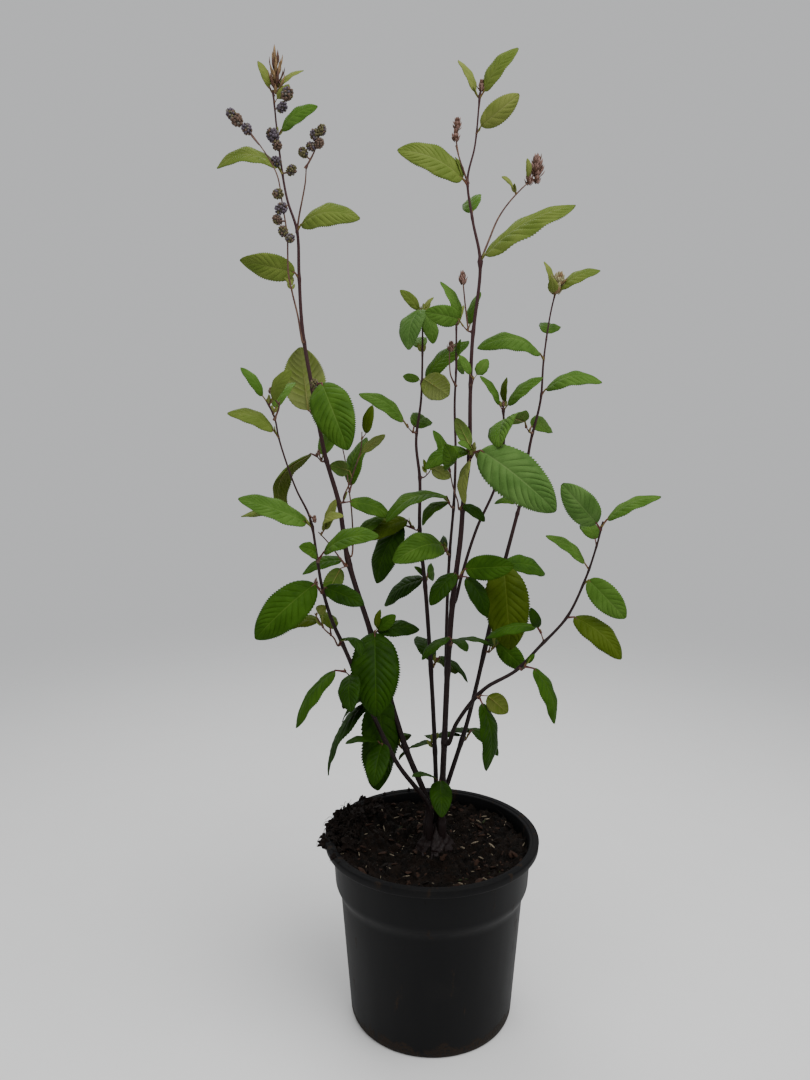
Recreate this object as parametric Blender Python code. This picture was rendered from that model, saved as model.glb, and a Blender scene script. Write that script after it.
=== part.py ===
# A young california lilac (Ceanothus) in its nursery pot.
# Metres, +Z up. The origin is the centre of the pot's flat underside, and -Y is the front.
# Sizes and places in the tables below are in millimetres.

import math
import random

import bmesh
import bpy
from mathutils import Matrix, Vector
from mathutils.bvhtree import BVHTree

mm = 0.001
up = Vector((0, 0, 1))
eye = Vector((-22, -709, 521)) * mm     # the plant is looked at from here, so a leaf can turn its face

# The pot, a turned shell
potHeight = 155
potBaseRadius = 66
potFootRadius = 67.5                    # above the small chamfer round its base
potFootHeight = 4
potBodyRadius = 75.2                    # the wall where it begins to step out to its collar
potBodyHeight = 109
potCollarRadius = 79.3                  # the wall where the collar begins
potCollarHeight = 116
potNeckRadius = 81.3                    # the wall just under the lip
potLipRadius = 88
potLipHeight = 6.8
potLipWidth = 7.6                       # the lip's flat top, from the outside in
potLipBevel = 1.6                       # its outer corners are cut this much
potWall = 1.8
potFloor = 2.4
potTurns = 40
drainCount = 6
drainRadius = 5
drainRing = 48
drainSides = 12

# The soil, a little below the rim and heaped at the left
soilLevel = 142
soilGap = 0.3
soilFlat = 20                           # the soil lies flat this far from the middle
heapPlace = (-62, 16)
heapSpread = 22
heapHeight = 12
soilWave = 1.6                          # how uneven the rest of the surface is
soilRipple = (0.11, 0.13)               # and how fast it rises and falls across and along
soilRings = (74, 62, 50, 38, 27, 17)
soilTurns = 24

# The woody foot that all the stems rise from
footPlace = (3, 0)
footHeight = 22
footRadii = (13.5, 11, 10, 10.4, 10.6)
footSides = 12

# Stems and leaves
seat = 0.3                              # air between a mass and the limb that carries it
clearance = 0.6                         # air that a leaf keeps to limbs and twigs
limbSides = 6
limbStep = 26                           # length of one straight stretch of a limb
twigSides = 3
leastWidth = 1.3                        # a stem's width at its tip
spurLength = 9
spurRise = 45                           # degrees above level
squareLength = 2                        # how far a twig runs straight out before it turns up
twigWidth = 2.2
twigEndWidth = 1.1
budStalk = 0.6
budSides = 5
budSeated = 0.8                         # nearer to its twig than this share of its radius, a bud has no stalk
budShoulder = 0.7                       # a bud is this wide for its radius, this far below its middle
budEnd = 0.33                           # and this wide at its ends
petioleLength = 9
petioleWidth = 1.3
petioleRise = 55
petioleMost = 0.35                      # the most of a leaf's reach that its petiole takes
leafSeat = 0.93                         # the last leaf of a twig starts this far along it
petioleEnd = 0.02                       # how far along the blade the petiole ends
leafShape = 0.48                        # a leaf's width for its length
leafEnds = (0.6, 0.75)                  # how pointed its outline is at the base and at the tip
leafArch = 0.13                         # how far the midrib bows up for its length
leafFold = -0.14                        # how far the edges stand below the midrib
leafThickness = 0.022                   # thickness at the midrib for the length
leafThin = 0.4                          # and how much of it is left at the ends
bladeEnd = 0.3                          # half the width of a blade at its very ends
leafRings = (0.2, 0.45, 0.75, 1)
testRings = (0.04, 0.2, 0.45, 0.75, 1)        # the part of a blade that is tested for touching
testThickness = 1.6
swings = (0, 7, -7, 14, -14, 22, -22, 32, -32)
lifts = (0, 8, -8, 16, -16, 26, -26)    # degrees, like the swings that a leaf tries to keep clear
seam = 1e-6
smoothAngle = 40
firstSide = Vector((1, 0.3, 0.1))       # a direction that no stem runs in

# Each limb: what it rises from, its own line, and its width at the foot and at its end.
# A limb stops at its height "ends", and the rest of its line is the stem of its top mass.
limbs = {
    "left_leader": dict(
        foot="rootstock", width=(5.4, 2.6), ends=590,
        line=[(-3, 1, 180), (-22, 2, 230), (-49, 4, 324), (-67, 5, 384), (-74, 6, 430), (-84, 7, 466),
              (-93, 8, 516), (-100, 9, 561), (-102, 10, 602), (-103, 11, 634), (-110, 11, 657),
              (-115, 12, 690), (-119, 13, 733)],
    ),
    "left_shoot": dict(
        foot="rootstock", width=(4.2, 2.0), ends=406,
        line=[(-2, -5, 180), (-30, -16, 226), (-69, -30, 324), (-77, -35, 345), (-84, -39, 373),
              (-87, -43, 397), (-91, -47, 425), (-100, -51, 446), (-106, -55, 465), (-111, -58, 484),
              (-113, -60, 497), (-118, -62, 509)],
    ),
    "back_stem": dict(
        foot="rootstock", width=(4.4, 2.0), ends=505,
        line=[(4, 6, 180), (2, 14, 240), (-5, 25, 352), (-10, 30, 403), (-10, 35, 445), (-13, 38, 475),
              (-9, 41, 509), (-8, 45, 545), (-8, 48, 577)],
    ),
    "centre_leader": dict(
        foot="rootstock", width=(5.6, 2.4), ends=600,
        line=[(8, -2, 180), (10, -3, 240), (12, -4, 300), (16, -5, 359), (21, -6, 403), (23, -7, 434),
              (27, -7, 466), (27, -9, 510), (28, -10, 552), (33, -11, 609), (27, -12, 638),
              (23, -13, 666), (28, -13, 689), (31, -14, 724)],
    ),
    "right_stem": dict(
        foot="rootstock", width=(4.4, 2.0), ends=498,
        line=[(9, 4, 180), (30, 12, 250), (57, 22, 372), (67, 25, 412), (73, 27, 436), (78, 30, 473),
              (86, 33, 508), (88, 35, 540), (93, 38, 576), (97, 39, 594)],
    ),
    "thin_stem": dict(
        foot="centre_leader", at=296, width=(3.2, 1.8), ends=512,
        line=[(11, 4, 312), (12, 13, 350), (14, 17, 390), (17, 18, 430), (18, 20, 467), (17, 22, 505),
              (18, 24, 532), (18, 26, 566)],
    ),
    "right_shoot": dict(
        foot="centre_leader", at=352, width=(3.0, 1.9), ends=480,
        line=[(23, 5, 372), (35, 13, 408), (50, 17, 442), (56, 19, 477), (55, 20, 502)],
    ),
    "low_branch": dict(
        foot="centre_leader", at=236, width=(4.0, 2.2), ends=340,
        line=[(19, -14, 256), (39, -31, 290), (62, -36, 306), (79, -40, 326), (98, -45, 350),
              (110, -52, 382), (116, -58, 408), (119, -60, 424)],
    ),
}

# Each mass: the limb that carries it and the height there, its twig as steps from that point, and
# its leaves. A leaf is (how far along the twig, or the height on a top stem; where its tip lies from
# that point, to the right, back and up; how wide it shows from the front, below 0 for its underside),
# and may have a sixth entry with its own arch, twist, petiole, rise or tint.
# A bud is (the height on a top stem, or any number; its place from the same point; its radius, and
# half its length where it isn't round).
masses = {
    "left_leader_top": dict(
        on="left_leader",
        leaves=[
            (599, -42, -14, 12, 19, dict(arch=0.06, twist=-50)),
            (634, 48, -12, 7, 16, dict(arch=0.22)),
            (675, -47, -8, 2, 9, dict(arch=0.24)),
            (701, 31, -12, 18, 9, dict(arch=0.14)),
            (724, 12, -5, 12, 6, dict(tint="young")),
            (731, -10, -5, 21, 6, dict(tint="young")),
            (731, 22, 6, 18, 3, dict(tint="young")),
        ],
        twigs=[[(634, 0, 0, 0), (2, 0, 12), (7, -2, 34), (8, -3, 45)],
               [(634, 8, -3, 45), (14, -4, 55), (17, -5, 64)]],
        buds=[(634, 6, -3, 55, 3.8), (634, 12, -4, 59, 3.6), (634, 18, -5, 61, 3.8), (634, 15, -5, 67, 4),
              (634, 20, -6, 70, 3.8), (675, -4, -3, 8, 4), (675, -3, -4, 19, 4), (675, -6, -4, 26, 5),
              (675, 7, -2, 2, 4), (701, 4, -2, 20, 4), (701, 8, -3, 29, 4.8), (731, 2, 0, 13, 4.8, 15)],
    ),
    "left_leader_side_shoot": dict(
        on="left_leader", at=552,
        twig=[(-4, -5, 20), (-10, -8, 50), (-10, -9, 76), (-13, -10, 98), (-16, -11, 118), (-23, -12, 132),
              (-34, -13, 147)],
        leaves=[(0.35, -20, 10, 60, 5, dict(tint="young"))],
        buds=[(0.45, -13, -9, 80, 4), (0.5, -8, -10, 75, 3.6), (0.45, -17, -10, 88, 3.8),
              (0.5, -14, -10, 96, 4.6), (0.6, -16, -11, 106, 4), (0.97, -37, -14, 150, 4),
              (1, -44, -15, 156, 4.6), (1, -48, -15, 160, 3.8)],
    ),
    "left_leader_bright_leaf": dict(
        on="left_leader", at=516, side=(0.7, -1),
        leaves=[(1, 29, -38, -43, 30, dict(arch=0.16, rise=10))],
        buds=[(1, 2, -5, 5, 3.6)],
    ),
    "left_leader_broad_leaf": dict(
        on="left_leader", at=494, side=(-0.5, 1),
        leaves=[(1, -14, 14, 55, -32, dict(rise=25, petiole=10))],
        buds=[(0.6, -5, 2, 6, 1.8)],
    ),
    "left_leader_arching_leaf": dict(
        on="left_leader", at=462, side=(-1, 0.4),
        leaves=[(1, -33, 12, -52, -10, dict(arch=0.3, rise=20)), (0.6, 6, 30, 26, 12)],
        buds=[(0.8, -6, 0, 6, 1.6)],
    ),
    "left_leader_right_twig": dict(
        on="left_leader", at=429,
        twig=[(4, -2, 5), (9, -4, 16), (14, -6, 30), (18, -8, 42), (19, -10, 56)],
        leaves=[
            (0.12, 41, 10, -12, 12, dict(rise=5)),
            (0.6, -8, 18, 28, -12, dict(arch=0.1)),
            (0.8, 36, -14, 54, -7, dict(arch=0.05)),
            (1, 27, -8, 76, 8),
        ],
    ),
    "left_leader_inner_twig": dict(
        on="left_leader", at=386,
        twig=[(4, 6, 12), (3, 10, 36), (1, 13, 52), (-2, 14, 76), (-7, 14, 98)],
        leaves=[
            (0.32, 28, 18, 30, 9),
            (1, -20, 12, 134, 8),
            (0.7, 14, 38, 92, 12),
        ],
    ),
    "left_leader_left_twig": dict(
        on="left_leader", at=380,
        twig=[(-5, -4, 3), (-12, -7, 14), (-17, -9, 21), (-23, -11, 28)],
        leaves=[
            (1, -9, -16, 54, 7, dict(tint="young", arch=0.04)),
            (1, 2, -24, 43, 6, dict(tint="young", arch=0.28)),
            (0.1, -18, -16, -22, -14, dict(rise=-10)),
            (0.1, -38, 8, -9, 8),
        ],
    ),
    "left_leader_low_leaves": dict(
        on="left_leader", at=322, side=(0.3, -1),
        leaves=[
            (1, -4, -42, -54, 36, dict(rise=15, tint="dark")),
            (1, 7, -4, 23, 5),
            (0.8, 19, -8, 19, 10),
            (0.5, 38, 6, 4, 12, dict(tint="dark")),
        ],
    ),
    "left_leader_foot_leaves": dict(
        on="left_leader", at=276, side=(-0.6, -0.8),
        leaves=[
            (1, -12, -22, -78, 29, dict(rise=-10, tint="dark", arch=0.06)),
            (1, -37, 10, -18, -11),
            (0.6, -37, 0, -24, 3, dict(tint="dark")),
            (0.3, -60, 12, -68, 4, dict(tint="dark", petiole=20, rise=-20)),
        ],
    ),
    "left_shoot_top": dict(
        on="left_shoot",
        leaves=[
            (418, -42, -16, 37, 15, dict(arch=0.05)),
            (418, -52, 10, 14, 7),
            (484, -34, -8, 17, 10, dict(arch=0.18)),
            (508, -17, -6, 24, 7),
            (506, 18, -14, 24, 9),
            (500, 12, 26, 22, 8),
        ],
        twigs=[[(497, 0, 0, 0), (3, -1, 7), (4, -3, 12)]],
        buds=[(508, 2, 0, 8, 1.6), (418, 2, -3, 6, 2)],
    ),
    "left_shoot_upper_leaf": dict(
        on="left_shoot", at=392, side=(0.3, -1),
        leaves=[(1, 46, -20, 22, 13, dict(arch=0.16)), (0.7, -10, -30, 16, 10)],
    ),
    "left_shoot_broad_leaves": dict(
        on="left_shoot", at=368, side=(-0.3, -1),
        leaves=[
            (1, -48, -22, -30, 28, dict(arch=0.14)),
            (0.6, 31, -16, -6, 14, dict(tint="dark", arch=0.05)),
        ],
        buds=[(0.8, -5, -4, 8, 1.8)],
    ),
    "left_shoot_twig": dict(
        on="left_shoot", at=326,
        twig=[(-6, -3, 5), (-13, -4, 12), (-17, -5, 19), (-20, -6, 25)],
        leaves=[
            (0.1, 24, -12, 11, 7, dict(arch=0.3, rise=80)),
            (0.7, -49, 6, 9, 7),
            (1, -11, -8, 32, 8, dict(tint="young")),
            (0.5, -18, 34, 16, 10),
        ],
    ),
    "left_shoot_low_leaf": dict(
        on="left_shoot", at=300, side=(-1, -0.2),
        leaves=[
            (1, -46, -8, -40, 8, dict(petiole=13, rise=10, arch=0.12)),
            (0.5, 8, -38, -6, 16, dict(tint="dark")),
        ],
    ),
    "back_stem_top": dict(
        on="back_stem",
        leaves=[
            (521, 38, 8, 34, 12, dict(arch=0.1)),
            (521, -14, 12, 6, 7),
            (521, 24, -28, -9, -21, dict(arch=0.05, petiole=8)),
            (545, -6, 34, 12, 10),
            (575, -18, -6, 19, 8),
            (577, 9, 8, 13, 3, dict(tint="young")),
            (575, -11, -26, -28, 17, dict(arch=0.2)),
            (572, 8, -16, -20, 12),
        ],
    ),
    "back_stem_long_leaf": dict(
        on="back_stem", at=482, side=(-1, -0.4),
        leaves=[(1, -46, -6, 31, 11, dict(arch=0.16)), (0.5, 8, 38, 10, 14)],
    ),
    "back_stem_olive_leaf": dict(
        on="back_stem", at=446, side=(1, -0.3),
        leaves=[(1, 25, 6, -1, -11, dict(arch=0.1)), (0.8, 3, 0, 15, 3)],
    ),
    "back_stem_hanging_leaves": dict(
        on="back_stem", at=404, side=(-1, -0.5),
        leaves=[
            (1, -42, -12, -6, 14),
            (0.7, -32, -18, -42, 20, dict(petiole=20, rise=20, tint="dark")),
        ],
    ),
    "back_stem_low_leaves": dict(
        on="back_stem", at=358, side=(0.2, 1),
        leaves=[
            (1, -9, 2, 16, 4),
            (1, 6, 42, 4, 12),
            (0.6, -34, 26, -22, 12, dict(tint="dark")),
        ],
    ),
    "thin_stem_top": dict(
        on="thin_stem",
        leaves=[
            (540, 3, -6, 15, 3),
            (530, 6, 32, 10, 10),
            (564, 6, 12, 18, 5, dict(tint="young")),
        ],
        twigs=[[(520, 0, 0, 0), (-4, -2, 8), (-5, -3, 26)]],
        buds=[(520, -4, -3, 29, 3), (564, 0, 0, 5, 1.8)],
    ),
    "thin_stem_long_leaf": dict(
        on="thin_stem", at=424, side=(-0.6, -1),
        leaves=[
            (1, -53, -26, -8, 10, dict(arch=0.2, rise=70)),
            (0.3, -25, -4, -14, 8, dict(arch=0.26)),
        ],
    ),
    "thin_stem_bright_leaf": dict(
        on="thin_stem", at=386, side=(-0.5, -1),
        leaves=[(1, -45, -42, 2, 22, dict(arch=0.2)), (0.6, 10, 34, 0, 12, dict(tint="dark"))],
    ),
    "centre_leader_top": dict(
        on="centre_leader",
        leaves=[
            (609, 66, -14, 37, 12, dict(arch=0.1)),
            (662, -47, -12, 28, 17, dict(arch=0.14)),
            (664, -4, 0, 19, 3),
            (640, 4, 34, 20, 12),
            (697, 29, -8, 24, 15, dict(arch=0.12)),
            (720, -15, 5, 27, 5),
            (720, 26, -7, 31, 10),
            (609, 15, 4, 60, 3, dict(twig=True, tint="young")),
            (609, 34, 10, 74, 4, dict(twig=True, tint="young")),
        ],
        twigs=[[(609, 0, 0, 0), (7, 5, 17), (13, 9, 31), (21, 13, 43), (33, 18, 56), (40, 21, 62)],
               [(664, 0, 0, 0), (-5, -3, 12), (-9, -4, 24)]],
        buds=[(609, 43, 22, 70, 5.4), (609, 37, 20, 61, 3.2), (609, 43, 21, 62, 3), (664, -9, -4, 30, 3),
              (664, -8, -4, 38, 3.2), (724, 1, 0, 4, 2.8)],
    ),
    "centre_leader_crown_leaves": dict(
        on="centre_leader", at=559, side=(-1, 0.2),
        leaves=[
            (1, -36, -8, 14, 15, dict(arch=0.2)),
            (1, -24, 10, 37, 7),
            (0.6, 6, 14, 30, 6),
        ],
        buds=[(0.8, -8, 2, 38, 3.4)],
    ),
    "centre_leader_small_leaves": dict(
        on="centre_leader", at=520, side=(0.2, -1),
        leaves=[(1, 12, -8, 19, 9), (1, -9, -6, 22, 6)],
    ),
    "centre_leader_great_leaf": dict(
        on="centre_leader", at=466, side=(0.4, -1),
        leaves=[
            (1, 60, -42, -36, 34, dict(arch=0.14, rise=20)),
            (1, -11, -10, 30, -10),
            (0.9, -10, -20, 12, 5),
            (0.6, -34, -12, -8, 12, dict(arch=0.2)),
            (0.5, 24, -14, -18, -12, dict(arch=0.2)),
            (0.4, -4, -16, -34, 7, dict(tint="young", rise=-20)),
        ],
    ),
    "centre_leader_inner_twig": dict(
        on="centre_leader", at=426,
        twig=[(-4, -4, 6), (-8, -5, 18), (-11, -6, 34)],
        leaves=[
            (1, -5, -30, 60, 12),
            (1, -20, -3, 62, 8),
            (0.1, 16, -12, -8, 8, dict(tint="dark")),
        ],
    ),
    "centre_leader_low_leaves": dict(
        on="centre_leader", at=372, side=(0.5, -1),
        leaves=[
            (1, 43, -20, 13, 19, dict(tint="dark", arch=0.12)),
            (0.8, 24, -14, -28, 13, dict(tint="dark", rise=0)),
            (0.6, -20, -18, -18, 14, dict(tint="dark")),
        ],
    ),
    "right_stem_top": dict(
        on="right_stem",
        leaves=[
            (512, 46, -10, 10, 11, dict(arch=0.22)),
            (540, -54, -16, 8, 13, dict(arch=0.22)),
            (556, 10, 38, 12, 12),
            (592, -9, 4, 24, 4, dict(tint="young")),
            (590, 34, -6, 18, 8),
            (588, -4, -12, 14, 8, dict(tint="young")),
        ],
        buds=[(592, 0, 0, 4, 4.6), (592, 3, -1, 9, 3.6)],
    ),
    "right_stem_crossing_leaf": dict(
        on="right_stem", at=482, side=(-1, -0.8),
        leaves=[(1, -44, -50, -7, 9, dict(arch=0.22)), (0.6, 30, 22, 8, 10)],
    ),
    "right_stem_curled_leaves": dict(
        on="right_stem", at=418, side=(0.2, 1),
        leaves=[(1, -18, 8, 7, 5, dict(arch=0.25)), (1, 18, 8, 17, 5, dict(arch=0.25))],
    ),
    "right_stem_broad_leaf": dict(
        on="right_stem", at=372, side=(-0.2, -1),
        leaves=[
            (1, 4, -32, -57, 34, dict(rise=20)),
            (0.6, 26, 30, -6, 12),
        ],
    ),
    "right_stem_low_leaves": dict(
        on="right_stem", at=306, side=(0.9, -0.5),
        leaves=[
            (1, 32, -10, -12, 16, dict(tint="dark")),
            (0.8, 12, -14, 30, 4, dict(tint="young")),
            (0.5, 22, 34, 4, 14),
        ],
    ),
    "right_shoot_top": dict(
        on="right_shoot",
        leaves=[
            (500, -19, -4, 27, 5),
            (502, 3, 6, 24, 5),
            (500, 29, -8, 26, 9),
        ],
        buds=[(502, 0, 0, 3, 1.6)],
    ),
    "low_branch_top": dict(
        on="low_branch",
        leaves=[
            (350, 38, -16, -27, 17, dict(arch=0.16, rise=10)),
            (376, 31, -14, -18, 19, dict(arch=0.08)),
            (388, -31, 6, 24, 8),
            (418, -30, -8, 34, 21, dict(arch=0.12)),
            (421, 39, -8, 22, 8),
            (406, -4, 30, 12, 10),
        ],
    ),
    "low_branch_upper_leaves": dict(
        on="low_branch", at=330, side=(-0.3, 1),
        leaves=[(1, -11, -2, 27, 8), (1, -42, 18, -2, 7)],
    ),
    "low_branch_hanging_leaf": dict(
        on="low_branch", at=309, side=(0.6, -1),
        leaves=[
            (1, 26, -10, -41, 9, dict(petiole=11, rise=-10)),
            (1, 10, -4, 12, 4),
        ],
    ),
    "low_branch_inner_leaves": dict(
        on="low_branch", at=284, side=(0.4, -1),
        leaves=[
            (1, 22, -12, -10, -15, dict(rise=0)),
            (0.7, 6, -18, -54, 12, dict(tint="dark", rise=-30)),
        ],
    ),
}

# Masses low on the stems, at the plant's back and middle. Their leaves follow one seeded rule:
# (limb, height, heading in degrees from the right, number of leaves).
lowShoots = [
    ("back_stem", 222, 100, 3),
    ("back_stem", 290, 60, 3),
    ("centre_leader", 200, 250, 2),
    ("centre_leader", 318, 285, 3),
    ("right_stem", 232, 40, 3),
    ("left_leader", 228, 140, 3),
    ("left_shoot", 238, 235, 2),
]
lowLeafLength = (30, 44)
lowLeafSpread = 52                      # degrees from one leaf's heading to the next
lowLeafStray = 10                       # and how many it may stray from that
lowLeafStep = 0.2                       # how far apart the leaves leave their stem
lowLeafPitch = 0.5                      # how far a leaf's tip rises or falls for its length
lowSeed = 7


def curve(points, steps=8):
    """A smooth line in metres through points in millimetres: a centripetal Catmull-Rom curve."""
    points = [Vector(p) * mm for p in points]
    points = [points[0] * 2 - points[1]] + points + [points[-1] * 2 - points[-2]]
    line = []
    for a, b, c, d in zip(points, points[1:], points[2:], points[3:]):
        kb = (b - a).length ** 0.5
        kc = kb + (c - b).length ** 0.5
        kd = kc + (d - c).length ** 0.5
        for i in range(steps):
            k = kb + (kc - kb) * i / steps
            ab, bc, cd = a.lerp(b, k / kb), b.lerp(c, (k - kb) / (kc - kb)), c.lerp(d, (k - kc) / (kd - kc))
            line.append(ab.lerp(bc, k / kc).lerp(bc.lerp(cd, (k - kb) / (kd - kb)), (k - kb) / (kc - kb)))
    return line + [points[-2]]


def along(line, share):
    """The point a share of the way along a line, and the direction there."""
    t = min(max(share, 0), 1) * (len(line) - 1)
    i = min(int(t), len(line) - 2)
    return line[i].lerp(line[i + 1], t - i), (line[i + 1] - line[i]).normalized()


def shareAt(line, height):
    """How far along a rising line a height in millimetres lies."""
    for i, (a, b) in enumerate(zip(line, line[1:])):
        if b.z >= height * mm:
            return max(0, i + (height * mm - a.z) / (b.z - a.z)) / (len(line) - 1)
    return 1


def lengthOf(line):
    return sum((b - a).length for a, b in zip(line, line[1:]))


def spanned(line, start, end, step):
    """The shares from start to end of a line, about a step apart."""
    count = max(2, round(lengthOf(line) * (end - start) / (step * mm)))
    return [start + (end - start) * i / count for i in range(count + 1)]


def across(way, toward):
    """The unit vector nearest to toward that is square to a direction."""
    flat = toward - way * toward.dot(way)
    return (flat if flat.length > seam else way.orthogonal()).normalized()


def sweep(rings, sides):
    """A closed mesh through rings, each its centre, half its width, half its thickness and its fold."""
    bm = bmesh.new()
    bmesh.ops.create_grid(bm, x_segments=sides, y_segments=len(rings) - 1, size=1)
    for v in bm.verts:
        turn = math.pi * (v.co.x + 1)
        centre, side, thick, fold = rings[round((v.co.y + 1) / 2 * (len(rings) - 1))]
        v.co = centre + side * math.cos(turn) + thick * math.sin(turn) + fold * abs(math.cos(turn))
    bmesh.ops.remove_doubles(bm, verts=bm.verts, dist=seam)
    bmesh.ops.holes_fill(bm, edges=bm.edges, sides=sides)
    bmesh.ops.recalc_face_normals(bm, faces=bm.faces)
    return bm


def tube(points, radii, sides):
    """A round tube along points, with a radius in metres at each."""
    rings = []
    side = firstSide
    for i, point in enumerate(points):
        way = (points[min(i + 1, len(points) - 1)] - points[max(i - 1, 0)]).normalized()
        side = across(way, side)
        rings.append((point, side * radii[i], way.cross(side) * radii[i], Vector()))
    return sweep(rings, sides)


def tapered(points, first, last, sides):
    """A tube whose radius in millimetres runs evenly from first to last."""
    count = len(points) - 1
    return tube(points, [(first + (last - first) * i / count) * mm for i in range(count + 1)], sides)


def outline(t):
    """Half of a leaf's outline: its width at a share t of its length, at most 1."""
    base, tip = leafEnds
    widest = base / (base + tip)
    return (t / widest) ** base * ((1 - t) / (1 - widest)) ** tip


def bladePoint(leaf, t):
    """The midrib's place and direction at a share t of the blade."""
    bow = (leaf["base"] + leaf["tip"]) / 2 + leaf["normal"] * leaf["arch"] * leaf["length"] * 2
    point = leaf["base"] * (1 - t) ** 2 + bow * 2 * t * (1 - t) + leaf["tip"] * t ** 2
    return point, ((bow - leaf["base"]) * (1 - t) + (leaf["tip"] - bow) * t).normalized()


def bladeRings(leaf, shares, thickness):
    """The rings of a leaf's blade, a thin lens that is folded along its midrib."""
    rings = []
    for t in shares:
        point, way = bladePoint(leaf, t)
        normal = Matrix.Rotation(math.radians(leaf["twist"]) * t * t, 3, way) @ across(way, leaf["normal"])
        half = max(leaf["width"] / 2 * outline(t), bladeEnd * mm)
        thick = thickness / 2 * (leafThin + (1 - leafThin) * outline(t))
        rings.append((point, way.cross(normal) * half, normal * thick, normal * half * leafFold))
    return rings


def leafSolid(leaf):
    """A whole leaf: its petiole, which widens into the blade."""
    rings = bladeRings(leaf, leafRings, leaf["length"] * leafThickness)
    side = rings[0][1]
    for place, way in (bladePoint(leaf, petioleEnd), (leaf["start"], leaf["base"] - leaf["start"])):
        way = way.normalized()
        side = across(way, side) * petioleWidth / 2 * mm
        rings.insert(0, (place, side, side.cross(way), Vector()))
    return sweep(rings, 4)


def budSolid(stem, place, radius, tall):
    """A cluster of buds, on a stalk from the nearest twig unless it sits on that twig."""
    root = nearest(stem, place)
    seated = (root - place).length < radius * budSeated * mm
    way = (up if seated else (place - root).normalized()) * tall * mm
    points = [place - way if seated else root, place - way * budShoulder, place, place + way]
    sizes = (radius * budEnd if seated else budStalk, radius * budShoulder, radius, radius * budEnd)
    return tube(points, [size * mm for size in sizes], budSides)


def facing(way, middle, share):
    """A leaf's upper normal, turned so that it shows a share of its width from the front."""
    view = across(way, (eye - middle).normalized())
    turn = math.acos(max(-1, min(1, share)))
    return max((Matrix.Rotation(turn * sign, 3, way) @ view for sign in (1, -1)), key=lambda normal: normal.z)


def makeLeaf(start, tip, shown, more, swing, lift):
    """A leaf from a point on its twig to its tip, swung and lifted in degrees about that point."""
    reach = tip - start
    level = Vector((reach.x, reach.y, 0))
    level = level.normalized() if level.length > mm else Vector((0, -1, 0))
    rise = math.radians(more.get("rise", petioleRise))
    stalk = min(more.get("petiole", petioleLength) * mm, reach.length * petioleMost)
    turn = Matrix.Rotation(math.radians(swing), 3, up)
    turn = turn @ Matrix.Rotation(math.radians(-lift), 3, up.cross(level))
    base = start + turn @ (level * math.cos(rise) + up * math.sin(rise)) * stalk
    tip = start + turn @ reach
    length = (tip - base).length
    width = max(length * leafShape, abs(shown or 0) * mm)
    way = (tip - base).normalized()
    normal = across(way, up) if shown is None else facing(way, (base + tip) / 2, shown * mm / width)
    return dict(start=start, base=base, tip=tip, length=length, width=width, normal=normal,
                arch=more.get("arch", leafArch), twist=more.get("twist", 0), tint=more.get("tint", "plain"))


def treeOf(bm):
    tree = BVHTree.FromBMesh(bm)
    bm.free()
    return tree


def placedLeaf(start, tip, shown, more, stems, leaves, own):
    """The leaf as asked, or swung and lifted the least that keeps it clear, or None."""
    tries = sorted(((swing, lift) for swing in swings for lift in lifts), key=lambda t: abs(t[0]) + abs(t[1]))
    radius = petioleWidth / 2
    for swing, lift in tries:
        leaf = makeLeaf(start, tip, shown, more, swing, lift)
        flat = treeOf(sweep(bladeRings(leaf, testRings, testThickness * mm), 4))
        near = [leaf["base"], bladePoint(leaf, testRings[0])[0]]
        whole = treeOf(tapered([start, *near], radius, radius, 3))
        outer = treeOf(tapered([start.lerp(leaf["base"], 0.5), *near], radius, radius, 3))
        if any(flat.overlap(other) or outer.overlap(other) for other in leaves + [tree for _, tree in stems]):
            continue
        if any(whole.overlap(tree) for owner, tree in stems if owner not in own):
            continue
        leaves.append(flat)
        return leaf
    return None


def leaving(limb, height, side):
    """The first points of a twig that leaves a limb squarely and clear of it, toward a side."""
    share = shareAt(limb["line"], height)
    centre, way = along(limb["line"], share)
    side = across(way, side)
    start = centre + side * (limbWidth(limb, share) / 2 + seat) * mm
    return [start / mm, (start + side * squareLength * mm) / mm]


def limbWidth(limb, share):
    wide, narrow = limb["width"]
    return max(wide + (narrow - wide) * share / limb["end"], leastWidth)


def growLimbs():
    """Each limb's whole line, and how far along it the limb's own solid ends."""
    grown = {}
    for name, limb in limbs.items():
        points = limb["line"]
        if limb["foot"] == "rootstock":
            points = [(points[0][0], points[0][1], soilLevel + seat * 2 + footHeight)] + points
        else:
            parent = grown[limb["foot"]]
            centre = along(parent["line"], shareAt(parent["line"], limb["at"]))[0]
            points = leaving(parent, limb["at"], Vector(points[0]) * mm - centre) + points
        line = curve(points)
        grown[name] = dict(line=line, width=limb["width"], end=shareAt(line, limb["ends"]))
    return grown


def plannedMasses():
    """The masses that the front shows, and the low shoots that the seeded rule adds."""
    plan = dict(masses)
    rng = random.Random(lowSeed)
    for limb, height, heading, count in lowShoots:
        leaves = []
        for i in range(count):
            spread = (i - (count - 1) / 2) * lowLeafSpread + rng.uniform(-lowLeafStray, lowLeafStray)
            angle = math.radians(heading + spread)
            length = rng.uniform(*lowLeafLength)
            leaves.append((1 - lowLeafStep * i, math.cos(angle) * length, math.sin(angle) * length,
                           rng.uniform(-lowLeafPitch, lowLeafPitch) * length, None, dict(tint="dark")))
        side = (math.cos(math.radians(heading)), math.sin(math.radians(heading)))
        plan[f"{limb}_shoot_{height}"] = dict(on=limb, at=height, side=side, leaves=leaves)
    return plan


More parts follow.
